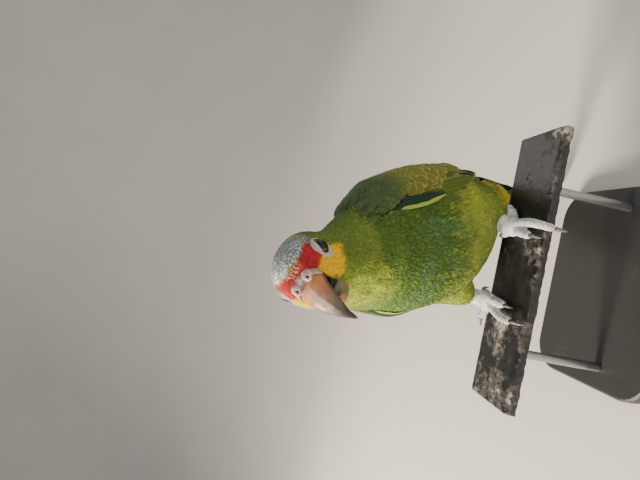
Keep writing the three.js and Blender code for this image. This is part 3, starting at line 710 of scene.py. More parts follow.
def markings(points):
    """The colour of the web and of the edging at each point."""
    points = np.asarray(points, float)
    f, l, u = in_head(points).T
    s, left, back = along_body(points)
    wander = ragged(points, 5)
    fine = ragged(points, 1.6, 7.0)
    broad = ragged(points, 16, 3.0)
    a = np.abs(l)

    # The back, the breast and the belly.
    web = blend(GREEN, LEAF, 0.35 + 0.5 * broad + 0.3 * wander)
    front = smooth(-back, -5, 25)
    shaded = smooth(left, -14, 6)
    ruff = s - 0.012 * front + 0.008 * wander
    neck = 1 - smooth(ruff, NECK_END, NECK_END + 0.01 + 0.07 * front * smooth(20 - left, 0, 20))
    web = blend(web, OLIVE, (1 - front) * 0.55)
    mantle = (1 - neck) * (1 - smooth(s, 0.42, 0.56))
    web = blend(web, MANTLE_GREEN, mantle * (1 - front) * (1 - smooth(back, 8, 22)) * 0.8)
    # Painted shade and sunlight: the breast is darker green on the bird's left and middle, and painted
    # lighter on its sunlit right.
    web = blend(web, SHADED_BREAST_GREEN, mantle * front * shaded * (0.6 + 0.5 * wander))
    web = blend(web, LEAF * 1.25, mantle * front * (1 - shaded) * (0.5 + 0.5 * wander))
    blue = mantle * front * band(s, 0.18, 0.24, 0.3, 0.38) * smooth(ragged(points, 11, 5.0), -0.15, 0.25)
    web = blend(web, BLUE_GREEN, blue * 0.5)
    belly = front * smooth(s + 0.03 * wander, BELLY_FROM, BELLY_FULL)
    web = blend(web, BELLY_OLIVE, belly * (0.6 + 0.5 * broad + 0.3 * wander))
    flank = hump(s, 0.42, 0.05) * hump(left, 50, 10)
    web = blend(web, LIME, flank * 0.7)
    vent = smooth(s + 0.012 * wander, 0.5, 0.545) * smooth(np.abs(left), 28, 38) + smooth(s, 0.58, 0.66)
    vent = np.clip(vent, 0, 1) * smooth(8 - back, 0, 8)
    edging = blend(web * 0.62, web * 0.7 + LIME * 0.3, front * smooth(s, BELLY_FROM, 0.42))

    # The neck, with a lime patch under the bill; painted sunlight makes it stronger on the bird's right.
    side = smooth(-u + 1.2 * wander, 8, 20) * (1 - smooth(np.abs(left + 3), 12, 24)) * smooth(f, -12, 4)
    web = blend(web, NECK_OLIVE, neck * 0.9)
    web = blend(web, GREEN * 1.1, neck * smooth(back, 0, 14) * 0.7)
    web = blend(web, LIME, neck * side * (0.3 + 0.2 * smooth(-left, -8, 8) + 0.6 * wander))
    edging = blend(edging, web * (0.55 + 0.25 * front[:, None]), neck * (1 - 0.8 * side))
    edging = blend(edging, web * 1.2, neck * side)

    # Lime tufts on the belly, and the yellow feathers beside the tail.
    tufts = band(s, 0.27, 0.31, 0.4, 0.46) * smooth(ragged(points, 3.5, 9.0), 0.1, 0.4)
    tufts = np.maximum(tufts, belly * smooth(ragged(points, 5, 2.0), 0.1, 0.4)) * front
    web = blend(web, LIME, tufts * 0.25)
    edging = blend(edging, LIME, tufts * 0.5)
    web = blend(web, VENT_YELLOW, vent * (0.85 + 0.3 * wander))
    edging = blend(edging, VENT_YELLOW * 1.1, vent)

    # The crown.
    crown_edge = u + 0.25 * a + 2.2 * wander + 0.5 * np.minimum(0, f + 2)
    crown = smooth(crown_edge, 10.5, 13.5) * smooth(f, -17, -9)
    pale = smooth(f - 0.3 * l + 3 * wander + 2 * fine, 7, 12) * (0.75 + 0.5 * fine)
    grey = blend(CROWN, PALE_GREEN, pale)
    grey = blend(grey, OLIVE, smooth(-f + 3 * wander, 1, 11) * 0.7 + smooth(a, 12, 18) * 0.5)
    speckle = smooth(ragged(points, 1.4, 6.0), 0.02, 0.3)
    grey = blend(grey, CROWN_TIP, speckle * smooth(f, -4, 6) * 0.7)
    grey = blend(grey, SLATE, smooth(-ragged(points, 1.3, 8.0), 0.08, 0.3) * 0.7)
    web = blend(web, grey, crown)
    edging = blend(edging, CROWN_TIP, crown * (0.75 + 0.5 * fine))

    # The red of the forehead, dappled over the cere.
    top = RED_TOP + 1.6 * wander - 0.8 * fine
    red = smooth(top - u, -0.7, 0.7) * smooth(u + 1.2 + wander, -0.8, 0.8) * smooth(f - 3 + wander, -1, 1)
    red *= smooth(RED_SIDE - a + wander, -1, 1)
    web = blend(web, RED, red)
    edging = blend(edging, DEEP_RED, red)
    dapple = red * smooth(8 - a, 0, 4) * smooth(u, 6, 9) * smooth(ragged(points, 1.1, 4.0), 0, 0.2)
    web = blend(web, DAPPLE, dapple * 0.8)
    edging = blend(edging, DAPPLE, dapple)

    # The cheeks, with painted sunlight turning the bird's right cheek a more lemon yellow.
    low = CHEEK_LOW + 0.35 * np.maximum(0, f - 8) + 0.95 * np.maximum(0, 7.5 - f) + 1.1 * wander
    cheek = smooth(-0.8 - u + wander, -0.8, 0.8) * smooth(u - low, -1, 1)
    cheek *= smooth(f + 1.5 + wander, -1, 1) * smooth(a - 8.5, -1, 1)
    cheek *= smooth(CHEEK_FRONT - 0.6 * np.maximum(0, -u - 8) - f + wander, -1, 1)
    yellow = blend(YELLOW, SUNLIT_LEMON, smooth(-l, 0, 6))
    web = blend(web, yellow, cheek)
    edging = blend(edging, yellow * 0.9, cheek)
    return web, edging


def in_gape(points):
    """How far each point belongs to the corner of the mouth, where the skin is painted dark as shade."""
    f, l, u = in_head(points).T
    inside = smooth(f, 10.5, 12.5) * smooth(11.5 - np.abs(l), 0, 1.5)
    return inside * smooth(u + 16.5, 0, 2) * smooth(-6.0 - u, 0, 2)


def write_colours(piece, **layers):
    """Stores one colour for each point in each layer, for the materials to read."""
    for name, values in layers.items():
        store = piece.data.color_attributes.new(name, "FLOAT_COLOR", "POINT")
        values = np.clip(values, 0, 1)
        store.data.foreach_set("color", np.column_stack([values, np.ones(len(values))]).ravel())


def write_values(piece, **layers):
    """Stores one number for each point in each layer."""
    for name, values in layers.items():
        store = piece.data.attributes.new(name, "FLOAT", "POINT")
        store.data.foreach_set("value", np.asarray(values, float))


skin_points = points_of(skin)
skin_web = markings(skin_points)[0]
foot_trees = bare_trees[: len(FEET)]
bare = 1 - smooth(gaps_to(foot_trees, skin_points).min(0), 0.9, 2.2)
FOOT_GREY = colour("c9c6bf")
# Painted shade: the corner of the mouth is near black, standing for the shade inside the open mouth.
GAPE_SHADE = colour("0a0706")
skin_marks = blend(blend(skin_web * 0.85, FOOT_GREY, bare), GAPE_SHADE, in_gape(skin_points))
write_colours(skin, Markings=skin_marks)
write_values(skin, Bare=bare)
print("bare skin on", int((bare > 0.5).sum()), "of", len(bare), "points")

# %% [markdown]
# ## The finish of the skin
# Under the coat the skin is only seen between feathers, and carries their colours a little darker. On
# the feet it is bare: powdery grey, with the small scales of a parrot's foot.
# At the corner of the mouth the skin is painted near black as shade.

# %% Skin material
down = Finish("skin_and_down", Roughness=0.75)
skin_tone = down.colour_of("Markings")
foot_marks = down.steps(down.cells(620), (0.0, 1.0), (0.55, 0.72))
powder = down.steps(down.noise(240, 5, 0.7), (0.35, colour("a39b92")), (0.62, colour("e2e0dc")))
foot_tone = down.mix(0.35, powder, foot_marks, "MULTIPLY")
skin_colour = down.mix(down.value_of("Bare"), skin_tone, foot_tone)
foot_scales = down.bump(down.cells(620, feature="DISTANCE_TO_EDGE"), 0.5, 0.0004)
skin_material = down.done(skin_colour, normal=foot_scales)
keep(skin, "body_plumage", skin_material, *PLUMED, *WINGS, *FEET)

# %% [markdown]
# ## How a feather is made
# A feather is a thin vane: a web either side of a shaft, crowned across, rounded or frayed at its tip,
# and as thin as paper at its edges. Here it is a closed solid with a ring of points at a few stations:
# the points of the upper web, and one below the shaft. Each vane is laid by walking from its root
# along the outline, so it hugs the body, and it climbs from near the skin at its root to the outline
# at its tip, which makes the vanes overlap like tiles. Thousands of them are joined into one mesh,
# made by arrays, because a modelled copy for each would take far too long.

# %% Vane shapes
class Vane:
    """The plan of a vane: stations along it, columns across it, and how its tip ends."""

    def __init__(self, stations, widths, columns, rounding, fray=0.0, lean=0.0):
        self.along = np.asarray(stations, float)
        self.widths = np.asarray(widths, float)
        self.across = np.linspace(-1, 1, columns)
        self.rounding = rounding
        self.fray = fray
        self.lean = lean

    def faces(self):
        """Triangles of one vane; each station's ring is its columns and then the point below."""
        ring = len(self.across) + 1
        below = ring - 1
        out = []
        for k in range(len(self.along) - 1):
            for j in range(ring):
                a, b = k * ring + j, k * ring + (j + 1) % ring
                out += [(a, b, b + ring), (a, b + ring, a + ring)]
        last = (len(self.along) - 1) * ring
        for j in range(ring - 2):
            out += [(below, j + 1, j), (last + below, last + j, last + j + 1)]
        return np.array(out)


SMALL = Vane([0, 0.45, 0.78, 1], [0.5, 1, 0.9, 0.45], 5, 0.2, fray=0.06)
BODY = Vane([0, 0.3, 0.62, 0.84, 1], [0.4, 0.9, 1, 0.8, 0.36], 5, 0.2, fray=0.1)
FLUFFY = Vane([0, 0.35, 0.65, 0.85, 1], [0.4, 0.9, 1, 0.72, 0.26], 5, 0.12, fray=0.22)
COVERT = Vane([0, 0.3, 0.55, 0.75, 0.9, 1], [0.4, 0.85, 1, 1, 0.88, 0.55], 5, 0.16)
SLIVER = Vane([0, 0.25, 0.5, 0.75, 1], [0.3, 0.85, 1, 0.7, 0.12], 5, 0.02, fray=0.04, lean=0.1)
QUILL = Vane(np.linspace(0, 1, 10), [0.35, 0.8, 0.95, 1, 1, 0.98, 0.94, 0.85, 0.66, 0.3], 5, 0.03, lean=0.3)
print("triangles a vane:", [len(vane.faces()) for vane in (SMALL, BODY, FLUFFY, COVERT, SLIVER, QUILL)])


# %% Laying vanes
VANE_PATCH = 0.003  # the size of a feather's place on the unwrap of the skin


def walk(roots, ways, lengths, stations, tree):
    """Follows the surface from each root: places, normals and directions at each station."""
    count = len(roots)
    places = np.empty((count, len(stations), 3))
    normals = np.empty_like(places)
    headings = np.empty_like(places)
    for i in range(count):
        at = Vector(roots[i])
        way = Vector(ways[i])
        before = 0.0
        for k, station in enumerate(stations):
            at = at + way * ((station - before) * lengths[i])
            before = station
            at, normal = tree.find_nearest(at)[:2]
            way = (way - normal * way.dot(normal)).normalized()
            places[i, k], normals[i, k], headings[i, k] = at, normal, way
    return places, normals, headings


def root_patches(roots):
    """The place of each root on the skin's unwrap."""
    return face_uv[[skin_tree.find_nearest(Vector(p))[2] for p in roots]]


class Coat:
    """Collects batches of vanes and turns them into pieces of one joined mesh each."""

    def __init__(self, name, seed):
        self.name = name
        self.random = np.random.default_rng(seed)
        self.batches = []

    def lay(self, vane, roots, ways, length, width, root_depth, tip_height, web, edging, **extra):
        """Lays one vane at each root. Lengths and heights are in millimetres, vary and twist are spreads."""
        count = len(roots)
        tree = extra.get("tree", outline_tree)
        crown = extra.get("crown", 0.12)
        thick = extra.get("thick", 0.3)
        droop = extra.get("droop", 1 / 45)
        length = np.broadcast_to(length, count).astype(float)
        width = np.broadcast_to(width, count).astype(float)
        places, normals, headings = walk(roots, ways, length * MM, vane.along, tree)
        sides = np.cross(headings, normals)
        rise = 0.7 * vane.along**0.35 + 0.3 * vane.along
        low = -np.broadcast_to(root_depth, count)[:, None]
        high = np.broadcast_to(tip_height, count)[:, None]
        high = high + self.random.normal(0, extra.get("ruffle", 0.25), (count, 1))
        height = low + (high - low) * rise[None, :]

        x = vane.across[None, None, :] + vane.lean * (1 - vane.across[None, None, :] ** 2)
        half = (width[:, None] / 2 * vane.widths[None, :])[:, :, None]
        out = half * x
        step = -vane.rounding * (vane.across**2)[None, None, :] * (vane.along**2)[None, :, None]
        if vane.fray:
            tooth = np.where(np.arange(len(vane.across)) % 2, -1.0, 1.0)
            split = self.random.uniform(0.3, 1, (count, 1, len(vane.across))) * tooth
            step = step + vane.fray * split * (vane.along**6)[None, :, None]
        forward = step * length[:, None, None]
        up = height[:, :, None] + crown * half * (1 - vane.across**2)[None, None, :] - droop * out**2 / 2
        twist = np.tan(self.random.normal(extra.get("bank", 0), extra.get("twist", 0.06), (count, 1, 1)))
        up = up + twist * out
        curl = self.random.normal(0, extra.get("splay", 0.05), (count, 1, 1))
        out = out + curl * (vane.along[None, :, None] ** 2) * length[:, None, None]

        top = (
            places[:, :, None]
            + sides[:, :, None] * out[..., None] * MM
            + headings[:, :, None] * forward[..., None] * MM
            + normals[:, :, None] * up[..., None] * MM
        )
        middle = len(vane.across) // 2
        below = top[:, :, middle] - normals * thick * MM
        points = np.concatenate([top, below[:, :, None]], axis=2)
        ring = len(vane.across) + 1
        plan = np.zeros((len(vane.along), ring, 2))
        plan[:, :-1, 0] = (vane.across + 1) / 2
        plan[:, -1, 0] = 0.5
        plan[..., 1] = vane.along[:, None]
        per = len(vane.along) * ring
        faces = vane.faces()[None] + (np.arange(count) * per)[:, None, None]
        tint = 1 + self.random.normal(0, extra.get("vary", 0.09), (count, 1))
        patches = root_patches(roots)[:, None] + (plan.reshape(1, per, 2) - 0.5) * VANE_PATCH
        self.batches.append(
            {
                "points": points.reshape(-1, 3),
                "faces": faces.reshape(-1, 3),
                "plan": np.tile(plan.reshape(-1, 2), (count, 1)),
                "patches": patches.reshape(-1, 2),
                "web": np.repeat(web * tint, per, axis=0),
                "edging": np.repeat(edging * tint, per, axis=0),
                "frame": np.repeat(length / 10, per),
            }
        )

    def build(self, slot, *replaced, material=None):
        """Joins the batches into one mesh of solid vanes with its maps and colours."""
        start = 0
        faces = []
        for batch in self.batches:
            faces.append(batch["faces"] + start)
            start += len(batch["points"])
        gather = {k: np.concatenate([b[k] for b in self.batches]) for k in self.batches[0] if k != "faces"}
        faces = np.concatenate(faces)
        mesh = bpy.data.meshes.new(self.name)
        mesh.vertices.add(len(gather["points"]))
        mesh.vertices.foreach_set("co", gather["points"].ravel())
        mesh.loops.add(faces.size)
        mesh.loops.foreach_set("vertex_index", faces.ravel())
        mesh.polygons.add(len(faces))
        mesh.polygons.foreach_set("loop_start", np.arange(0, faces.size, 3))
        mesh.update(calc_edges=True)
        for title, values in (("Vane", gather["plan"]), ("OFBake", gather["patches"])):
            layer = mesh.uv_layers.new(name=title)
            layer.data.foreach_set("uv", values[faces.ravel()].ravel())
        piece = add_object(self.name, mesh)
        write_colours(piece, Markings=gather["web"], Edging=gather["edging"])
        write_values(piece, Size=gather["frame"])
        return keep(piece, slot, material or feather_material, *replaced, smooth_angle=40)


# %% [markdown]
# ## The finish of a feather
# A web is made of barbs that slant out from the shaft to the edge. Its finish reads the vane's own map:
# slanting lines for the barbs, a thin pale shaft, and the edging colour round the rim and the tip.
# A soft sheen stands for the velvet of the barbs.

# %% Feather material
plume = Finish("feather_web", Roughness=0.68, Specular_IOR_Level=0.12, Sheen_Weight=0.04, Sheen_Roughness=0.5)
vane_map = plume.add("UVMap", uv_map="Vane").outputs[0]
split = plume.add("SeparateXYZ", {"Vector": vane_map})
from_shaft = plume.math("ABSOLUTE", plume.minus(split.outputs["X"], 0.5))
barb_line = plume.minus(split.outputs["Y"], plume.times(from_shaft, 0.55))
barb_line = plume.times(plume.times(barb_line, plume.value_of("Size")), 95)
barbs = plume.math("SINE", barb_line)
rim = plume.power(plume.times(from_shaft, 2.0), 8.0)
tip = plume.power(split.outputs["Y"], 7.0)
patchy = plume.noise(380, 4, 0.6)
edge = plume.steps(plume.times(plume.plus(rim, tip), patchy), (0.12, 0.0), (0.42, 1.0))
web_colour = plume.mix(edge, plume.colour_of("Markings"), plume.colour_of("Edging"))
streak = plume.steps(plume.noise(900, 3, 0.6), (0.3, 0.78), (0.7, 1.12))
web_colour = plume.mix(0.8, web_colour, streak, "MULTIPLY")
between = plume.steps(barbs, (0.0, 0.86), (0.6, 1.0))
web_colour = plume.mix(0.6, web_colour, between, "MULTIPLY")
feather_material = plume.done(web_colour, normal=plume.bump(barbs, 0.3, 0.0002))

# %% [markdown]
# ## Roots
# Contour feathers are spread evenly but not in rows. Many random places are tried in turn, and one is
# kept only if no kept root is nearer than the spacing there, which is under a millimetre on the face
# and grows to two by the tail. Wings have rows of their own, so they are left out here, apart from
# their lower front edge, over which the feathers beside the tail lie. Roots keep clear of the bill.

# %% Roots of the contour feathers
SPACING_LINE = ([0, 0.05, 0.13, 0.25, 0.5, 0.75], [0.92, 1.02, 1.45, 1.6, 1.65, 1.9])
TRIED = 320000
JAW_WIDER = 1.22
spread = np.random.default_rng(11)


def scatter(piece, count):
    """Random places, even by area, over a triangulated copy of the piece."""
    mesh = piece.data
    mesh.calc_loop_triangles()
    corners = read(mesh.loop_triangles, "vertices", 3, np.int32)
    a, b, c = points_of(piece)[corners].transpose(1, 0, 2)
    weights = np.linalg.norm(np.cross(b - a, c - a), axis=1)
    pick = spread.choice(len(a), count, p=weights / weights.sum())
    r, t = np.sqrt(spread.random(count))[:, None], spread.random(count)[:, None]
    return a[pick] * (1 - r) + b[pick] * (r * (1 - t)) + c[pick] * (r * t)


def thinned(points, spacing):
    """Keeps points in their random order, each at least its spacing (millimetres) from the others."""
    tree = kdtree.KDTree(len(points))
    for i, point in enumerate(points):
        tree.insert(point, i)
    tree.balance()
    free = np.ones(len(points), bool)
    kept = []
    for i in range(len(points)):
        if free[i]:
            kept.append(i)
            for _, other, _ in tree.find_range(points[i], spacing[i] * MM):
                free[other] = False
    return np.array(kept)


tried = scatter(outline, TRIED)
extra = scatter(outline, TRIED * 2)
tried = np.vstack([tried, extra[along_body(extra)[0] < 0.17]])
s_tried = along_body(tried)[0]
spacing = np.interp(s_tried, *SPACING_LINE)
head_f = in_head(tried)[:, 0]
face = smooth(head_f, -2, 10) * (s_tried < 0.2)
spacing = spacing * (1 - 0.2 * face)
kept = thinned(tried, spacing)
roots, spacing = tried[kept], spacing[kept]
region = nearest_node(roots, [*PLUMED, *WINGS, "tail"])
s_roots, _, back_roots = along_body(roots)
tucked = (region < len(PLUMED) + 2) & (s_roots > 0.54) & (back_roots < 2)
covered = (region < len(PLUMED)) | tucked
roots, spacing, region = roots[covered], spacing[covered], region[covered]
normals = np.array([outline_tree.find_nearest(p)[1] for p in roots])
ways = lie(roots, normals)
blocked = [tree_of(nodes[n]) for n in ("upper_beak", "lower_beak", "cere", "tongue")]
from_horn = gaps_to(blocked, roots)
root_flu = in_head(roots)
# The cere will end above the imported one's lower edge, and the lower bill will be wider than packed.
from_horn[2] += 5 * (root_flu[:, 2] < -3)
narrowed = from_head(root_flu / [1, JAW_WIDER, 1])
for i, point in enumerate(narrowed):
    near, facing, _, gap = blocked[1].find_nearest(point)
    outside = (Vector(point) - near).dot(facing) > 0
    from_horn[1, i] = (gap if outside else -gap) / MM
from_horn = from_horn.min(0)
off_ring = np.minimum(outside_ring(roots), outside_ring(roots + ways * 1.6 * MM))
print(len(roots), "contour feathers")

# %% Contour feathers
s, left, back = along_body(roots)
head_f = in_head(roots)[:, 0]
open_ground = (from_horn > 0.9) & (off_ring > -0.2) & (in_gape(roots + ways * 1.5 * MM) < 0.2)
web, edging = markings(roots + ways * (spacing[:, None] * 2 * MM))
on_thigh = (region == 3) | (region == 4)
near_head = s < 0.16
breast = (back < 6) & ~on_thigh
chest = (back < 0) & (s > 0.17)
zones = {
    "face_feathers": (near_head & (head_f > 1), SMALL, 3.4, 1.7, "head_plumage"),
    "crown_feathers": (near_head & (head_f <= 1), SMALL, 3.4, 1.8, "head_plumage"),
    "nape_feathers": (~near_head & (s < 0.28) & ~on_thigh & ~chest, BODY, 4.4, 2.2, "body_plumage"),
    "chest_feathers": (~near_head & (s < 0.28) & ~on_thigh & chest, FLUFFY, 5.2, 1.7, "body_plumage"),
    "breast_feathers": ((s >= 0.28) & (s < 0.36) & breast, FLUFFY, 5.4, 1.6, "body_plumage"),
    "belly_feathers": ((s >= 0.36) & breast, FLUFFY, 5.6, 1.6, "body_plumage"),
    "back_feathers": ((s >= 0.28) & (back >= 6) & ~on_thigh, BODY, 4.4, 2.3, "body_plumage"),
    "thigh_feathers": (on_thigh, FLUFFY, 5.0, 1.7, "body_plumage"),
}
for seed, (name, (zone, vane, longer, wider, slot)) in enumerate(zones.items()):
    here = np.flatnonzero(zone & open_ground)
    coat = Coat(name, seed)
    gap = spacing[here]
    depth = np.clip(coat_depth(roots[here]), 0.3, 6)
    grow = 1 + coat.random.normal(0, 0.14, len(here))
    start = roots[here] - ways[here] * (gap * (longer - 1.8) * 0.5 * MM)[:, None]
    coat.lay(
        vane, start, ways[here], gap * longer * grow, gap * wider, depth * 0.8, 0.15,
        web[here], edging[here], ruffle=0.06 * gap.mean(), thick=0.1 + 0.02 * gap.mean(),
        droop=1 / (20 if near_head[here].all() else 45), splay=0.09, vary=0.1,
    )
    coat.build(slot)

# %% [markdown]
# ## Wings
# A folded wing shows its feathers in ranks. Small coverts tile the shoulder, then larger ones with pale
# rims, then the long flight feathers, stacked with the inner ones on top. Each rank is laid from a plan of
# the wing, how far along and how far across, which is found by looking at the wing from outside.

# %% Wing plan
WING_STATIONS = 25
WING_SLICE = 5  # half the thickness of a slice through the wing, in millimetres
ON_WING = 1.6  # how near a point of the outline is to the wing it belongs to


class WingPlan:
    """Places on one wing: millimetres from its shoulder, and the share round the body, 0 in front."""

    def __init__(self, side):
        self.sign = 1 if side == "left" else -1
        self.way = wing_ways[side]
        outward = self.sign * body_left
        self.out = unit(outward - self.way * (outward @ self.way))
        self.over = np.cross(self.out, self.way)
        self.over *= np.sign(self.over @ body_back)
        points = outline_points[gaps_to([node_trees[f"wing_{side}"]], outline_points)[0] < ON_WING]
        far = points @ self.way
        self.start = far.min()
        self.length = (far.max() - self.start) / MM
        self.stations = np.linspace(0, self.length, WING_STATIONS)
        line_far = (line_points @ self.way - self.start) / MM
        self.centre = np.stack([np.interp(self.stations, line_far, line_points[:, i]) for i in range(3)], -1)
        self.low, self.high = np.zeros(WING_STATIONS), np.zeros(WING_STATIONS)
        for k, station in enumerate(self.stations):
            near = points[np.abs((far - self.start) / MM - station) < WING_SLICE] - self.centre[k]
            angle = np.arctan2(near @ self.over, near @ self.out)
            self.low[k], self.high[k] = np.quantile(angle, [0.01, 0.99])

    def at(self, far, share):
        """The point of the outline there."""
        low = np.interp(far, self.stations, self.low)
        high = np.interp(far, self.stations, self.high)
        angle = low + (high - low) * share
        centre = np.array([np.interp(far, self.stations, self.centre[:, i]) for i in range(3)])
        centre = centre + self.way * (self.start + far * MM - centre @ self.way)
        ray = math.cos(angle) * self.out + math.sin(angle) * self.over
        hit = outline_tree.ray_cast(Vector(centre + ray * 0.12), Vector(-ray), 0.2)[0]
        return np.array(hit if hit is not None else centre)

    def rank(self, fars, shares, ends, end_shares):
        """Roots and headings of feathers that run from one place on the wing to another, and how long."""
        roots = np.array([self.at(f, v) for f, v in zip(fars, shares)])
        tips = np.array([self.at(f, v) for f, v in zip(ends, end_shares)])
        return roots, unit(tips - roots), np.linalg.norm(tips - roots, axis=1) / MM


plans = {side: WingPlan(side) for side in SIDES}
for side, plan in plans.items():
    print(side, "wing:", round(plan.length), "mm, front edge", np.degrees(plan.low).round(), "degrees")

# %% Wing feathers
WING_BLUE = colour("1c3230")
WING_BLACK = colour("14181c")
WING_OLIVE = colour("6c6c28")
WING_GREEN = colour("4d6a1e")
WING_RIM = colour("a3a452")
MARGIN = colour("9ab040")
ALULA_DARK = colour("20342a")
SHOULDER_GREEN = colour("4c5c36")
SECONDARY = colour("3e5418")
LESSER = (0, 42, 2.7, 3.6, 8, 5.2)  # from, to, step and pitch, then length and width, in millimetres
MEDIAN = (42, 76, 6.2, 7.6, 17, 10.5)
GREATER = (76, 90, 8, 9.5, 24, 12.5)
STIFF = {"ruffle": 0.02, "twist": 0.01, "splay": 0.004}
PRIMARIES = 10
SECONDARIES = 15
ALULA_COUNT = 3


def slanted(far, share):
    """Ranks run closer together at the wing's front edge, so that the coverts end on a slant."""
    squeeze = 0.45 + 0.55 * smooth(share, -0.02, 0.18)
    longer_behind = 14 * smooth(share, 0.2, 0.8) * smooth(far, 20, 90)
    return far * (1 + (squeeze - 1) * smooth(far, 20, 50)) + longer_behind


def covert_rank(coat, plan, first, last, step, pitch, long, wide):
    """Rows of coverts, each row shifted by half a feather, with paler rims towards the tip."""
    for row, far in enumerate(np.arange(first, last, step)):
        across_wing = np.linalg.norm(plan.at(far, 0.5) - plan.at(far, 0.4)) / 0.1 / MM
        count = max(3, int(round(across_wing / pitch)))
        edge = 0.02 + 0.035 * float(smooth(far, 18, 34))
        shares = (np.arange(count) + 0.25 + 0.5 * (row % 2)) / count * (0.97 - edge) + edge
        shares = shares + coat.random.normal(0, 0.006, count)
        fars = slanted(far + coat.random.normal(0, 0.4, count), shares)
        course = plan.rank(fars, shares, slanted(far + long, shares), shares * 0.96 + 0.01)
        ripe = smooth(np.full(count, far) + 30 * shares, 20, 50)
        web = blend(SHOULDER_GREEN, WING_OLIVE, ripe)
        web = blend(web, WING_GREEN, smooth(shares, 0.35, 0.8) * 0.7 * ripe)
        web = web * (0.9 + 0.2 * coat.random.random(count))[:, None]
        edging = blend(web * 0.8, WING_RIM, ripe * 0.9)
        widths = wide * (0.6 + 0.4 * smooth(shares, 0, 0.15))
        coat.lay(
            COVERT, *course, widths, 2.2, 0.5, web, edging,
            ruffle=0.12, thick=0.25, crown=0.12, vary=0.05, bank=-plan.sign * 0.05, droop=1 / 36,
        )


for side, plan in plans.items():
    coverts = Coat(f"wing_coverts_{side}", 20 + plan.sign)
    for rank in (LESSER, MEDIAN, GREATER):
        covert_rank(coverts, plan, *rank)
    coverts.build("wing_plumage")

    # The primaries lie lowest and run to the wing's tip.
    flights = Coat(f"flight_feathers_{side}", 30 + plan.sign)
    n = np.linspace(0, 1, PRIMARIES)
    course = plan.rank(96 + 16 * n, 0.42 + 0.24 * n, plan.length - 4 - 30 * n, 0.62 + 0.12 * n)
    web = blend(WING_BLACK, WING_BLUE, 1 - n)
    flights.lay(
        QUILL, *course, 15, 4.0, -1.2, web, web * 1.9 + 0.01,
        **STIFF, bank=-plan.sign * 0.06, crown=0.06, thick=0.4, vary=0.04,
    )
    # The secondaries fan out from under the coverts.
    n = np.linspace(0, 1, SECONDARIES)
    start_far = 36 + 64 * smooth(n, 0, 0.5)
    end_far = 88 + 92 * n**0.6
    course = plan.rank(start_far, 0.9 * n**1.5, end_far, -0.06 + 0.74 * n**1.2)
    web = blend(SECONDARY, WING_OLIVE, 0.15 + 0.4 * n)
    web = web * np.where(np.arange(SECONDARIES) % 2, 1.0, 1.12)[:, None]
    edging = blend(web, WING_RIM, np.full(SECONDARIES, 0.6))
    flights.lay(
        QUILL, *course, 9 + 6 * smooth(n, 0.1, 0.6), 1.2, 0.5, web, edging,
        **STIFF, bank=plan.sign * 0.1, crown=0.04, thick=0.4, vary=0.05,
    )
    # The alula is the dark band at the front edge, and pale slivers lie along the edge itself.
    n = np.linspace(0, 1, ALULA_COUNT)
    course = plan.rank(22 + 6 * n, 0.012 + 0.02 * n, 68 - 4 * n, -0.016 + 0.016 * n)
    flights.lay(
        QUILL, *course, 4.2, -0.3, 1.4, ALULA_DARK, ALULA_DARK * 1.3,
        **STIFF, bank=0, crown=0.05, thick=0.35, vary=0.03,
    )
    course = plan.rank([26, 34, 44], [-0.005, -0.03, -0.042], [48, 58, 68], [-0.045, -0.045, -0.03])
    flights.lay(
        SLIVER, *course, 2.7, -0.3, 1.9, MARGIN, MARGIN * 1.15,
        **STIFF, bank=-plan.sign * 0.1, crown=0.1, thick=0.35, vary=0.03,
    )
    flights.build("wing_plumage")

# %% [markdown]
# ## Tail
# Twelve tail feathers lie in a narrow fan, the middle pair on top. They are laid on a flat guide through
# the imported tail, so that they keep its place and length. The guide itself isn't kept.

# %% Tail feathers
TAIL_COUNT = 12
TAIL_LENGTH = 112
TAIL_FAN = math.radians(16)
TAIL_GREEN = colour("445826")
GUIDE_SIZE = 0.5
tail_top = tail_points[tail_points[:, 2].argsort()[-60:]].mean(0)
tail_way = unit(tail_tip - tail_top)
tail_left = unit(body_left - tail_way * (body_left @ tail_way))
tail_back = np.cross(tail_left, tail_way)
past_tip = (tail_points @ tail_way).max() - tail_tip @ tail_way
tail_root = tail_tip - tail_way * (TAIL_LENGTH * MM - past_tip)

turn = Matrix((tail_left, tail_way, tail_back)).transposed().to_euler()
guide = added(bpy.ops.mesh.primitive_plane_add, size=GUIDE_SIZE, location=Vector(tail_root), rotation=turn)
bpy.ops.object.transform_apply()
tail_tree = tree_of(guide)
bpy.data.objects.remove(guide)

tail = Coat("tail_feathers", 41)
place = np.linspace(-1, 1, TAIL_COUNT)
fan = place * TAIL_FAN / 2
ways = tail_way[None] * np.cos(fan)[:, None] + tail_left[None] * np.sin(fan)[:, None]
starts = tail_root + tail_left * (place * 4.5 * MM)[:, None]
web = blend(TAIL_GREEN, LEAF, 0.3 * (1 - np.abs(place)))
for k in range(TAIL_COUNT):
    level = 1.7 - 3.2 * abs(place[k])
    tail.lay(
        QUILL, starts[[k]], ways[[k]], TAIL_LENGTH - 7 * place[k] ** 2, 17, -level + 0.3, level,
        web[k], web[k] * 1.5, tree=tail_tree, ruffle=0, twist=0.01, splay=0.004,
        bank=-0.05 * np.sign(place[k]), crown=0.05, thick=0.45, vary=0.05, droop=0,
    )
tail.build("tail_plumage", "tail")

# %% [markdown]
# ## Eyes
# A parrot's eye is a dark ball under a clear, wet cornea: a large black pupil in a narrow orange-brown
# iris. The ball is a sphere turned to look along the line of sight. Its finish reads how far each point
# is from that line, and a clear coat gives the wet gleam.

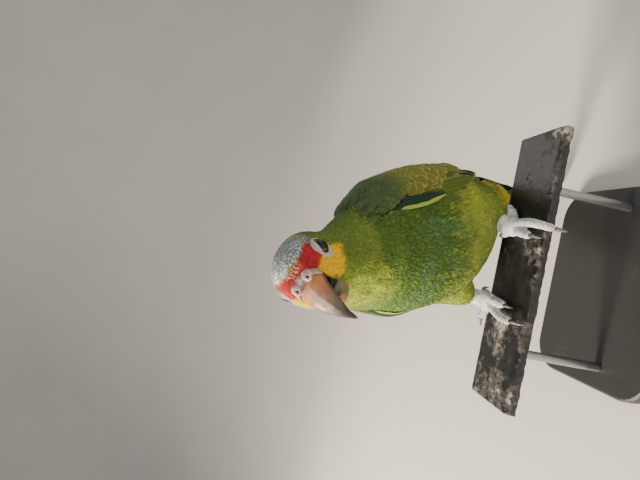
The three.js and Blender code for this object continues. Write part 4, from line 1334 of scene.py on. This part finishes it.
# %% Eyeballs
PUPIL = 4.1  # radii in millimetres
IRIS = 5.3
BALL_GAP = 0.05
wet = Finish(
    "eye_gloss", Roughness=0.4, Specular_IOR_Level=0.2, Coat_Weight=0.9, Coat_Roughness=0.03, Coat_IOR=1.33
)
away = wet.times(wet.value_of("Away"), 1 / EYE_RADIUS)
fibres = wet.noise(900, 4, 0.7)
ring = wet.plus(away, wet.times(wet.minus(fibres, 0.5), 0.06))
iris_tone = wet.steps(
    ring,
    (PUPIL / EYE_RADIUS - 0.03, colour("050403")),
    (PUPIL / EYE_RADIUS + 0.02, colour("3a1c0a")),
    (0.7, colour("70401a")),
    (0.76, colour("52290f")),
    (IRIS / EYE_RADIUS, colour("2a140a")),
    (0.86, colour("0c0806")),
)
iris_tone = wet.mix(0.5, iris_tone, wet.steps(fibres, (0.35, 0.45), (0.65, 1.3)), "MULTIPLY")
eye_material = wet.done(iris_tone)

for side, eye in eyes.items():
    turn = Matrix((eye.front, np.cross(eye.look, eye.front), eye.look)).transposed().to_euler()
    ball = added(
        bpy.ops.mesh.primitive_uv_sphere_add, segments=48, ring_count=32,
        radius=(EYE_RADIUS - BALL_GAP) * MM, location=eye.at, rotation=turn,
    )
    ball.name = ball.data.name = f"eyeball_{side}"
    bpy.ops.object.transform_apply(location=True, rotation=True)
    reach, _, height = eye.turns(points_of(ball))
    write_values(ball, Away=np.where(height > 0, reach, EYE_RADIUS))
    keep(ball, "eye_gloss", eye_material, f"eye_{side}")

# %% [markdown]
# ## Eye rings
# Bare, pale skin surrounds the eye. Its rim rests on the ball as a thick lid edged with tiny beads,
# fine folds run round it, and it spreads to a blunt point towards the bill before it slips under the
# feathers. It is drawn as loops: each point lies on the ball or on the head, whichever stands higher.

# %% Eye ring shape
OPENING = 4.55  # half the opening's width along its middle way, in millimetres
SLANT = 0.75
LID = 0.6
RING_LOOPS = 26
RING_TURNS = 120
BEAD_TURNS = 30
BEAD_PLACE = 0.26  # the share of the ring, from its rim, where the beads stand
FAR_DOWN = -20.0


def ring_points(eye):
    """Loops of the ring from the rim to the edge, with the share outwards and the angle of each point."""
    share = np.linspace(0, 1, RING_LOOPS)
    angle = np.linspace(0, 2 * math.pi, RING_TURNS, endpoint=False)
    q, a = np.meshgrid(share, angle, indexing="ij")
    corner = np.maximum(0, np.cos(a + RING_TILT)) ** 8
    rim = OPENING + 0.4 * corner + SLANT * np.cos(2 * (a + RING_TILT))
    reach = rim + (eye.edge(a) + 0.5 - rim) * q
    spoke = np.cos(a)[..., None] * eye.front + np.sin(a)[..., None] * eye.top
    flat = eye.at + spoke * reach[..., None] * MM
    ball = np.sqrt(np.maximum(0.0, EYE_RADIUS**2 - reach**2))
    head = np.full(q.shape, FAR_DOWN)
    for place in np.ndindex(q.shape):
        start = Vector(flat[place] + eye.look * 25 * MM)
        hit = outline_tree.ray_cast(start, Vector(-eye.look), 0.05)[0]
        if hit is not None:
            head[place] = (np.array(hit) - eye.at) @ eye.look / MM
    lid = ball + LID * smooth(q, -0.02, 0.07)
    skin_high = head + 0.35 - 0.9 * smooth(q, 0.86, 1.0)
    gap = lid - skin_high
    height = skin_high + 0.5 * (gap + np.sqrt(gap**2 + 1.2))
    height = np.where(q < 0.25, np.maximum(height, lid), height)
    folds = 0.16 * np.sin(q * 26 + 1.2 * np.sin(3 * a)) * band(q, 0.12, 0.3, 0.85, 1)
    beads = 0.22 * np.maximum(0, np.cos(a * BEAD_TURNS)) * hump(q, BEAD_PLACE, 0.08)
    rough = 0.16 * ragged(flat.reshape(-1, 3), 0.8, 4.0).reshape(q.shape) * smooth(q, 0.1, 0.3)
    height = height + folds + beads + rough
    height = np.where(q < 0.02, ball - 0.05, height)
    return flat + eye.look * height[..., None] * MM, q, a


def loops_to_sheet(name, grid):
    """A sheet through rows of points that each close into a loop."""
    rows, columns = grid.shape[:2]
    faces = []
    for i in range(rows - 1):
        for j in range(columns):
            k = (j + 1) % columns
            row, below = i * columns, (i + 1) * columns
            faces.append((row + j, row + k, below + k, below + j))
    mesh = bpy.data.meshes.new(name)
    mesh.from_pydata(grid.reshape(-1, 3).tolist(), [], faces)
    sheet = add_object(name, mesh)
    edit_all(sheet, bpy.ops.mesh.normals_make_consistent, inside=False)
    return sheet


# %% Eye rings
RING_THICK = 0.5
bare_skin = Finish("ring_skin", Roughness=0.6, Subsurface_Weight=0.1, Subsurface_Scale=0.001)
ring_tone = bare_skin.mix(bare_skin.patches(1500, 4, 0.7, 0.35, 0.62), colour("8c8379"), colour("c9c1b5"))
ring_tone = bare_skin.mix(bare_skin.value_of("Lid"), ring_tone, colour("1c1412"))
ring_tone = bare_skin.mix(bare_skin.value_of("Beads"), ring_tone, colour("e8dca0"))
pores = bare_skin.bump(bare_skin.cells(2600), 0.35, 0.0003)
ring_material = bare_skin.done(ring_tone, normal=pores)
for side, eye in eyes.items():
    grid, q, a = ring_points(eye)
    sheet = loops_to_sheet(f"eye_ring_{side}", grid)
    bead = hump(q, BEAD_PLACE, 0.09) * (0.5 + 0.5 * np.cos(a * BEAD_TURNS))
    bead *= 0.5 - 0.5 * np.cos(a)
    write_values(sheet, Lid=(1 - smooth(q, 0.12, 0.26)).ravel(), Beads=bead.ravel())
    normal = normals_of(sheet).mean(0)
    modify(sheet, "SOLIDIFY", thickness=RING_THICK * MM, offset=-np.sign(normal @ eye.look))
    keep(sheet, "cere_skin", ring_material)
    high = ((grid - eye.at) @ eye.look).max() / MM
    print(side, "ring stands", round(float(high), 1), "mm from the eye's middle")

# %% [markdown]
# ## Bill
# The bill is horn that grows in layers: smooth and waxy at the root, chalky and flaking towards the
# tip and the cutting edge. Its shape is the imported one, welded and relaxed. Where each colour lies is
# worked out from the place along the bill, from the ridge and from the cutting edge, as attributes.
# A pale band down the ridge is a painted highlight.

# %% Bill
BILL_LINE = np.array(  # forward and up, in the head's millimetres
    [(12, -3), (18.5, -3), (24.8, -4.6), (29.8, -9.4), (32.6, -16), (33.6, -22), (33.2, -30.2)]
)
BEHIND_LINE = -9


def smooth_copy(title, voxel, smooth_steps, *names):
    """A welded, evenly meshed and relaxed copy of CAD nodes."""
    piece = merged_copy(title, *names)
    remesh(piece, voxel, smooth=smooth_steps)
    return piece


def along_bill(flu):
    """The share along the bill's middle line and the turn from its ridge, in degrees."""
    steps = np.linalg.norm(np.diff(BILL_LINE, axis=0), axis=1)
    starts = np.concatenate([[0], np.cumsum(steps)])
    best = np.full(len(flu), np.inf)
    share, turn = np.zeros(len(flu)), np.zeros(len(flu))
    for k, step in enumerate(steps):
        way = (BILL_LINE[k + 1] - BILL_LINE[k]) / step
        off = flu[:, [0, 2]] - BILL_LINE[k]
        t = np.clip(off @ way, 0 if k else BEHIND_LINE, step)
        gap = np.linalg.norm(off - t[:, None] * way, axis=1)
        near = gap < best
        best[near] = gap[near]
        outer = off @ np.array([-way[1], way[0]])
        share[near] = ((starts[k] + t) / starts[-1])[near]
        turn[near] = np.degrees(np.arctan2(np.abs(flu[:, 1]), outer))[near]
    return share, turn


PEACH = colour("cf8d50")
RUST_HORN = colour("b0642c")
RIDGE_HIGHLIGHT = colour("d6c6ba")
ASH = colour("5c544e")
DARK_HORN = colour("2e2824")
EDGE_HORN = colour("3b3122")
JAW_HORN = colour("7d7448")
JAW_TIP = colour("57502f")
JAW_EDGE = colour("37301f")
JAW_ORANGE = colour("b46e30")
TIP_NARROWING = 0.3
JAW_LOWER = 0.8
upper = smooth_copy("upper_bill", 0.45 * MM, 10, "upper_beak")
flu = in_head(points_of(upper))
along, turn = along_bill(flu)
hollow = smooth(turn, 102, 130) * band(along, -0.2, 0.1, 0.8, 0.95)
flange = hump(turn, 94, 12) * (1 - smooth(along, 0.75, 0.9))
place_points(upper, points_of(upper) + normals_of(upper) * ((0.3 * flange - 2.0 * hollow) * MM)[:, None])
flu = in_head(points_of(upper))
flu[:, 1] *= 1 - TIP_NARROWING * smooth(along, 0.5, 1)
place_points(upper, from_head(flu))
modify(upper, "SMOOTH", iterations=2, factor=0.5)
wander = ragged(points_of(upper), 3.0)
horn = blend(PEACH, RUST_HORN, smooth(along, 0.15, 0.45) * smooth(turn, 20, 70))
horn = blend(horn, ASH, smooth(along + 0.05 * wander, 0.3, 0.62) * 0.92)
# Painted highlight: a pale band down the ridge stands for the sun's glint on it.
ridge = (1 - smooth(turn + 6 * wander, 4, 24)) * smooth(along, 0.12, 0.35)
horn = blend(horn, RIDGE_HIGHLIGHT, ridge * (0.55 - 0.5 * smooth(along, 0.5, 0.85)))
horn = blend(horn, DARK_HORN, smooth(along + 0.04 * wander, 0.54, 0.84))
worn = smooth(turn + 8 * wander, 74, 92) * (1 - 0.5 * smooth(along, 0.7, 0.95))
horn = blend(horn, EDGE_HORN, worn * 0.9)
write_colours(upper, Markings=horn)
write_values(upper, Flaking=worn)

lower = smooth_copy("lower_bill", 0.4 * MM, 8, "lower_beak")
low_flu = in_head(points_of(lower))
jaw_front = smooth(low_flu[:, 0], 6, 13)
low_flu[:, 1] *= 1 + (JAW_WIDER - 1) * jaw_front
low_flu[:, 2] -= JAW_LOWER * jaw_front
place_points(lower, from_head(low_flu))
below_edge = low_flu[:, 2].max() - low_flu[:, 2]
tone = blend(JAW_HORN, JAW_TIP, smooth(low_flu[:, 0], 12, 24) * 0.5)
low_worn = 1 - smooth(below_edge + ragged(points_of(lower), 2.0), 0.8, 2.6)
tone = blend(tone, JAW_EDGE, low_worn * 0.8)
tone = blend(tone, JAW_ORANGE, smooth(low_flu[:, 0], 23.4, 25.2))
write_colours(lower, Markings=tone)
write_values(lower, Flaking=np.clip(low_worn + 0.15, 0, 1))

horn_finish = Finish("beak_horn", Specular_IOR_Level=0.5, Subsurface_Weight=0.08, Subsurface_Scale=0.002)
flaking = horn_finish.value_of("Flaking")
layers = horn_finish.noise(420, 6, 0.7, stretch=(1, 1, 2.4))
chips = horn_finish.patches(1100, 4, 0.8, 0.52, 0.62)
chalk = horn_finish.times(chips, horn_finish.times(flaking, 0.7))
layer_tone = horn_finish.steps(layers, (0.3, 0.78), (0.7, 1.1))
horn_tone = horn_finish.mix(0.45, horn_finish.colour_of("Markings"), layer_tone, "MULTIPLY")
horn_tone = horn_finish.mix(horn_finish.times(chalk, 0.55), horn_tone, colour("c9bda4"))
horn_rough = horn_finish.plus(layers, horn_finish.times(flaking, 0.5))
horn_rough = horn_finish.steps(horn_rough, (0.35, 0.38), (1.0, 0.75))
fine_layers = horn_finish.bump(layers, 0.25, 0.0003)
horn_bump = horn_finish.bump(horn_finish.times(chips, flaking), 0.6, 0.0004, under=fine_layers)
horn_material = horn_finish.done(horn_tone, horn_rough, horn_bump)
keep(upper, "upper_beak_horn", horn_material, "upper_beak")
keep(lower, "lower_beak_horn", horn_material, "lower_beak")

# %% [markdown]
# ## Tongue
# The tongue is thick, dry flesh with a blunt tip and fine bumps. It lies in the lower bill, so that
# little of it shows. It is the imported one, relaxed.

# %% Tongue
tongue = smooth_copy("tongue_tip", 0.35 * MM, 8, "tongue")
flesh = Finish("tongue_flesh", Roughness=0.32, Subsurface_Weight=0.15, Subsurface_Scale=0.002)
bumps = flesh.cells(1500)
flesh_tone = flesh.mix(flesh.noise(300, 4), colour("8a3f16"), colour("e08a34"))
tongue_material = flesh.done(flesh_tone, normal=flesh.bump(bumps, 0.5, 0.0004))
keep(tongue, "tongue_flesh", tongue_material, "tongue")

# %% [markdown]
# ## Cere
# The cere is the soft, bare skin over the bill's root, with a nostril in a swollen rim on each side.
# It is pinkish white, mottled and finely pored, and carries tiny dark bristles; its nostril pits are painted
# dark as shade.

# %% Cere
MOUNDS = [  # forward, out, up and radius, in the head's millimetres
    (20.5, 4.7, 3.3, 3.9),
    (19.2, 8.4, -0.2, 2.5),
]
MIDDLE_MOUND = (20.0, 0, 4.6, 3.4)
CERE_END = -3.4
NOSTRIL_AT = np.array([24.3, 5.3, 4.8])


def mound(f, l, u, radius):
    """A ball that swells the cere there."""
    return added(
        bpy.ops.mesh.primitive_uv_sphere_add, segments=24, ring_count=16,
        radius=radius * MM, location=from_head((f, l, u)),
    )


mounds = [mound(f, way * out, u, radius) for f, out, u, radius in MOUNDS for way in (1, -1)]
mounds.append(mound(*MIDDLE_MOUND))
cere = merged_copy("cere_flesh", "cere")
cut = {"plane_co": from_head((0, 0, CERE_END)), "plane_no": head_up}
edit_all(cere, bpy.ops.mesh.bisect, **cut, clear_inner=True, use_fill=True)
choose(cere, *mounds)
bpy.ops.object.join()
remesh(cere, 0.35 * MM, smooth=16)
cere_points = points_of(cere)
cere_flu = in_head(cere_points)
lump = ragged(cere_points, 2.6, 1.0) * 0.3 + ragged(cere_points, 0.9, 2.0) * 0.14
both = [cere_flu * [1, way, 1] - NOSTRIL_AT for way in (1, -1)]
pit = np.min([np.linalg.norm(off, axis=1) for off in both], axis=0)
nostril = 1 - smooth(pit, 0.6, 1.35)
rim = hump(pit, 2.4, 0.7)
shift = lump * (1 - nostril) - 1.0 * smooth(-cere_flu[:, 2], -3, 2) + 0.05 * rim - 2.6 * nostril
place_points(cere, cere_points + normals_of(cere) * (shift * MM)[:, None])
write_values(cere, Nostril=1 - smooth(pit, 0.6, 1.3))
soft = Finish("cere_skin", Roughness=0.55, Subsurface_Weight=0.2, Subsurface_Scale=0.0015)
mottle = soft.steps(
    soft.noise(380, 5, 0.75), (0.36, colour("63544b")), (0.5, colour("9f8f83")), (0.66, colour("d2c8bc"))
)
pink = soft.mix(soft.times(soft.noise(160, 3), 0.5), mottle, colour("d8a890"))
# Painted shade: the nostril pits are painted near black.
cere_tone = soft.mix(soft.value_of("Nostril"), pink, colour("1c1210"))
cere_pores = soft.bump(soft.cells(1900), 0.5, 0.0004)
cere_bump = soft.bump(soft.noise(700, 5, 0.7), 0.4, 0.0003, under=cere_pores)
cere_material = soft.done(cere_tone, normal=cere_bump)
cere_tree = tree_of(cere)
keep(cere, "cere_skin", cere_material, "cere")

# %% Bristles
BRISTLES_TRIED = 900
BRISTLES = 80
bristles = Coat("cere_bristles", 51)
picked = scatter(cere, BRISTLES_TRIED)
outer = (np.array([cere_tree.find_nearest(p)[1] for p in picked]) @ head_forward) > -0.1
picked = picked[outer][:BRISTLES]
from_middle = unit(picked - from_head((19, 0, 2)))
bristles.lay(
    SMALL, picked, unit(from_middle + 0.6 * head_up), 1.0, 0.12, 0.1, 0.5, colour("5a4b40"), colour("201814"),
    tree=cere_tree, ruffle=0.15, thick=0.07, twist=0.3, splay=0.3,
)
bristles.build("head_plumage")

# %% [markdown]
# ## Toes and claws
# The back of each toe carries a row of broad plates that overlap towards the claw. Each plate is a short
# vane curved tightly across, laid where a line dropped on the toe from above meets the skin. The claws
# are the imported ones, relaxed: dark horn with fine grain and paler, worn tips.

# %% Toe scutes
SCUTE_STEP = 1.5  # millimetres
TOE_SLICE = 2.4 * MM
SCUTE = Vane([0, 0.5, 0.85, 1], [0.9, 1, 0.95, 0.8], 5, 0.12)
scutes = Coat("toe_scutes", 61)
skin_surface = tree_of(skin)
for side in SIDES:
    for toe in TOES:
        toe_points = points_of(nodes[f"toe_{side}_{toe}"])
        gap = np.linalg.norm(toe_points - foot_tops[side], axis=1)
        near = toe_points[gap < np.quantile(gap, 0.12)].mean(0)
        far = toe_points[gap > np.quantile(gap, 0.9)].mean(0)
        length = np.linalg.norm(far - near) / MM
        forwards = unit(far - near)
        across_toe = np.cross(forwards, [0, 0, 1])
        marks = np.arange(0.5, length + 1.5, SCUTE_STEP)
        line, widths = [], []
        for mark in marks:
            level = near + (far - near) * mark / length
            here = toe_points[np.abs((toe_points - level) @ forwards) < TOE_SLICE]
            centre = (here.max(0) + here.min(0)) / 2
            hit = skin_surface.ray_cast(Vector(centre + np.array([0, 0, 0.02])), Vector((0, 0, -1)), 0.04)[0]
            if hit is None:
                continue
            line.append(np.array(hit))
            widths.append(np.ptp((here - level) @ across_toe) / MM)
        line = np.array(line)
        ways = unit(np.gradient(line, axis=0))
        widths = np.clip(np.array(widths), 3.5, 7.0)
        pale = colour("d2cfc8") * (0.85 + 0.25 * scutes.random.random(len(line)))[:, None]
        scutes.lay(
            SCUTE, line, ways, SCUTE_STEP * 1.5, widths * 0.78, 0.25, 0.3, pale, pale * 0.45,
            tree=skin_surface, ruffle=0.03, thick=0.35, crown=0.0,
            droop=0.28, twist=0.04, splay=0.02, vary=0.06,
        )
scute_finish = Finish("toe_scute", Roughness=0.62)
worn_grey = scute_finish.steps(
    scute_finish.noise(420, 5, 0.7), (0.3, colour("8d8881")), (0.5, colour("c4c1ba")), (0.7, colour("e6e4df"))
)
scute_map = scute_finish.add("UVMap", uv_map="Vane").outputs[0]
scute_split = scute_finish.add("SeparateXYZ", {"Vector": scute_map})
scute_end = scute_finish.steps(scute_split.outputs["Y"], (0.78, 1.0), (1.0, 0.55))
scute_tone = scute_finish.mix(0.8, worn_grey, scute_end, "MULTIPLY")
scute_bump = scute_finish.bump(scute_finish.noise(1400, 4), 0.3, 0.0003)
scute_material = scute_finish.done(scute_tone, normal=scute_bump)
scutes.build("foot_skin", material=scute_material)

# %% Claws
claw_finish = Finish("claw_horn", Specular_IOR_Level=0.6)
grain = claw_finish.noise(700, 5, 0.7)
claw_tone = claw_finish.mix(claw_finish.value_of("Tip"), colour("232020"), colour("6f6963"))
claw_tone = claw_finish.mix(0.7, claw_tone, claw_finish.steps(grain, (0.3, 0.6), (0.7, 1.3)), "MULTIPLY")
claw_rough = claw_finish.steps(grain, (0.3, 0.28), (0.75, 0.5))
claw_material = claw_finish.done(claw_tone, claw_rough, claw_finish.bump(grain, 0.35, 0.0002))
for side in SIDES:
    for toe in TOES:
        name = f"claw_{side}_{toe}"
        claw = smooth_copy(f"{name}_horn", 0.3 * MM, 5, name)
        gap = np.linalg.norm(points_of(claw) - foot_tops[side], axis=1)
        share = (gap - gap.min()) / (gap.max() - gap.min())
        write_values(claw, Tip=0.15 + 0.6 * smooth(share, 0.1, 0.55) * (1 - 0.7 * smooth(share, 0.8, 1)))
        keep(claw, "claw_horn", claw_material, name)

# %% [markdown]
# ## Rail
# The rail is a flat iron bar with many coats of black paint. The paint has run into beads along its
# front edge, and it has chipped on top to grey-brown old metal with pale, bleached spots. The bar's
# relief is real: a fine surface moved by noise, strongest at the front edge and calm under the feet, so
# that they still touch it. Its colours come from layered noise.

# %% Rail
RAIL_VOXEL = 1.1
BEAD_SCALE = 190  # noise cells to the metre
WORN_PLACES = [(-92, 12), (72, 16), (12, 7)]  # middle along the rail and half width
bar = merged_copy("painted_rail", "perch_rail")
remesh(bar, RAIL_VOXEL * MM, smooth=2)
bar_points = points_of(bar)
bar_normals = normals_of(bar)
front_edge = smooth(-(bar_points[:, 1] - rail_low.y) / MM, -7, 0)
from_feet = [np.linalg.norm((bar_points - foot_tops[side])[:, :2], axis=1) for side in SIDES]
clear = smooth(np.min(from_feet, axis=0) / MM, 18, 40)
beads = np.array([noise.noise(Vector(p * BEAD_SCALE)) for p in bar_points])
lift = (1.0 * front_edge * beads - 0.5 * front_edge) + 0.16 * ragged(bar_points, 3.2, 2.0) * clear - 0.1
place_points(bar, bar_points + bar_normals * (lift * MM)[:, None])
worn_top = [
    hump(bar_points[:, 0] / MM, at, wide) * smooth(bar_normals[:, 2], 0.2, 0.8)
    for at, wide in WORN_PLACES
]
write_values(bar, Edge=front_edge, Worn=np.sum(worn_top, axis=0))

paint = Finish("rail_paint", Specular_IOR_Level=0.5)
big = paint.noise(16, 6, 0.62)
small = paint.noise(150, 6, 0.7)
worn_place = paint.plus(paint.times(big, 0.72), paint.times(small, 0.34))
worn_place = paint.plus(worn_place, paint.times(paint.value_of("Edge"), 0.05))
worn_place = paint.plus(worn_place, paint.times(paint.value_of("Worn"), 0.045))
paint_tone = paint.mix(paint.steps(small, (0.35, 0.0), (0.7, 1.0)), colour("101111"), colour("242320"))
dust = paint.patches(34, 7, 0.7, 0.5, 0.72, most=0.3)
paint_tone = paint.mix(dust, paint_tone, colour("423e38"))
rust_tone = paint.mix(paint.patches(300, 5, 0.7, 0.35, 0.65), colour("2b2622"), colour("544c44"))
pale_tone = paint.mix(paint.noise(260, 5, 0.8), colour("65625b"), colour("a8a294"))
rusty = paint.steps(worn_place, (0.55, 0.0), (0.575, 1.0))
bleached = paint.steps(worn_place, (0.605, 0.0), (0.625, 1.0))
rail_tone = paint.mix(rusty, paint_tone, rust_tone)
rail_tone = paint.mix(bleached, rail_tone, pale_tone)
rail_rough = paint.plus(rusty, paint.times(small, 0.5))
rail_rough = paint.steps(rail_rough, (0.1, 0.32), (0.5, 0.55), (1.0, 0.85))
rail_rough = paint.plus(rail_rough, paint.times(dust, 0.25))
chip_step = paint.bump(rusty, 0.5, 0.0006)
rail_material = paint.done(rail_tone, rail_rough, paint.bump(small, 0.35, 0.0006, under=chip_step))
keep(bar, "rail_paint", rail_material, "perch_rail")

# %% [markdown]
# ## Stand
# The stand is plain: a charcoal powder-coated plate and two brushed steel rods. Both keep their packed
# shape. The powder coat has the fine orange-peel of the real thing, and the rods have turned lines round
# them, with a few smudges in their gloss.

# %% Stand
powder_coat = Finish("base_powder_coat", Specular_IOR_Level=0.4)
peel = powder_coat.cells(900, feature="SMOOTH_F1")
specks = powder_coat.patches(1500, 3, 0.6, 0.4, 0.6)
base_tone = powder_coat.mix(specks, colour("262524"), colour("34322f"))
scuffs = powder_coat.patches(14, 8, 0.75, 0.6, 0.72)
base_tone = powder_coat.mix(powder_coat.times(scuffs, 0.35), base_tone, colour("57534c"))
base_rough = powder_coat.steps(powder_coat.noise(22, 6), (0.35, 0.5), (0.7, 0.68))
base_material = powder_coat.done(base_tone, base_rough, powder_coat.bump(peel, 0.25, 0.0005))

steel = Finish("rod_steel", Metallic=1.0)
turned = steel.noise(60, 4, 0.6, stretch=(1, 1, 90))
smudge = steel.noise(45, 4)
steel_tone = steel.mix(turned, colour("8b8c8c"), colour("b5b6b5"))
steel_rough = steel.steps(steel.plus(turned, steel.times(smudge, 0.6)), (0.4, 0.24), (1.2, 0.46))
rod_material = steel.done(steel_tone, steel_rough, steel.bump(turned, 0.2, 0.0002))
STAND_LOOKS = {"stand_base": base_material, "stand_rod_left": rod_material, "stand_rod_right": rod_material}
for name, material in STAND_LOOKS.items():
    for material_slot in nodes[name].material_slots:
        material_slot.material = material
    print(name, "has", material.name)

# %% Removing the outline
bpy.data.objects.remove(outline)
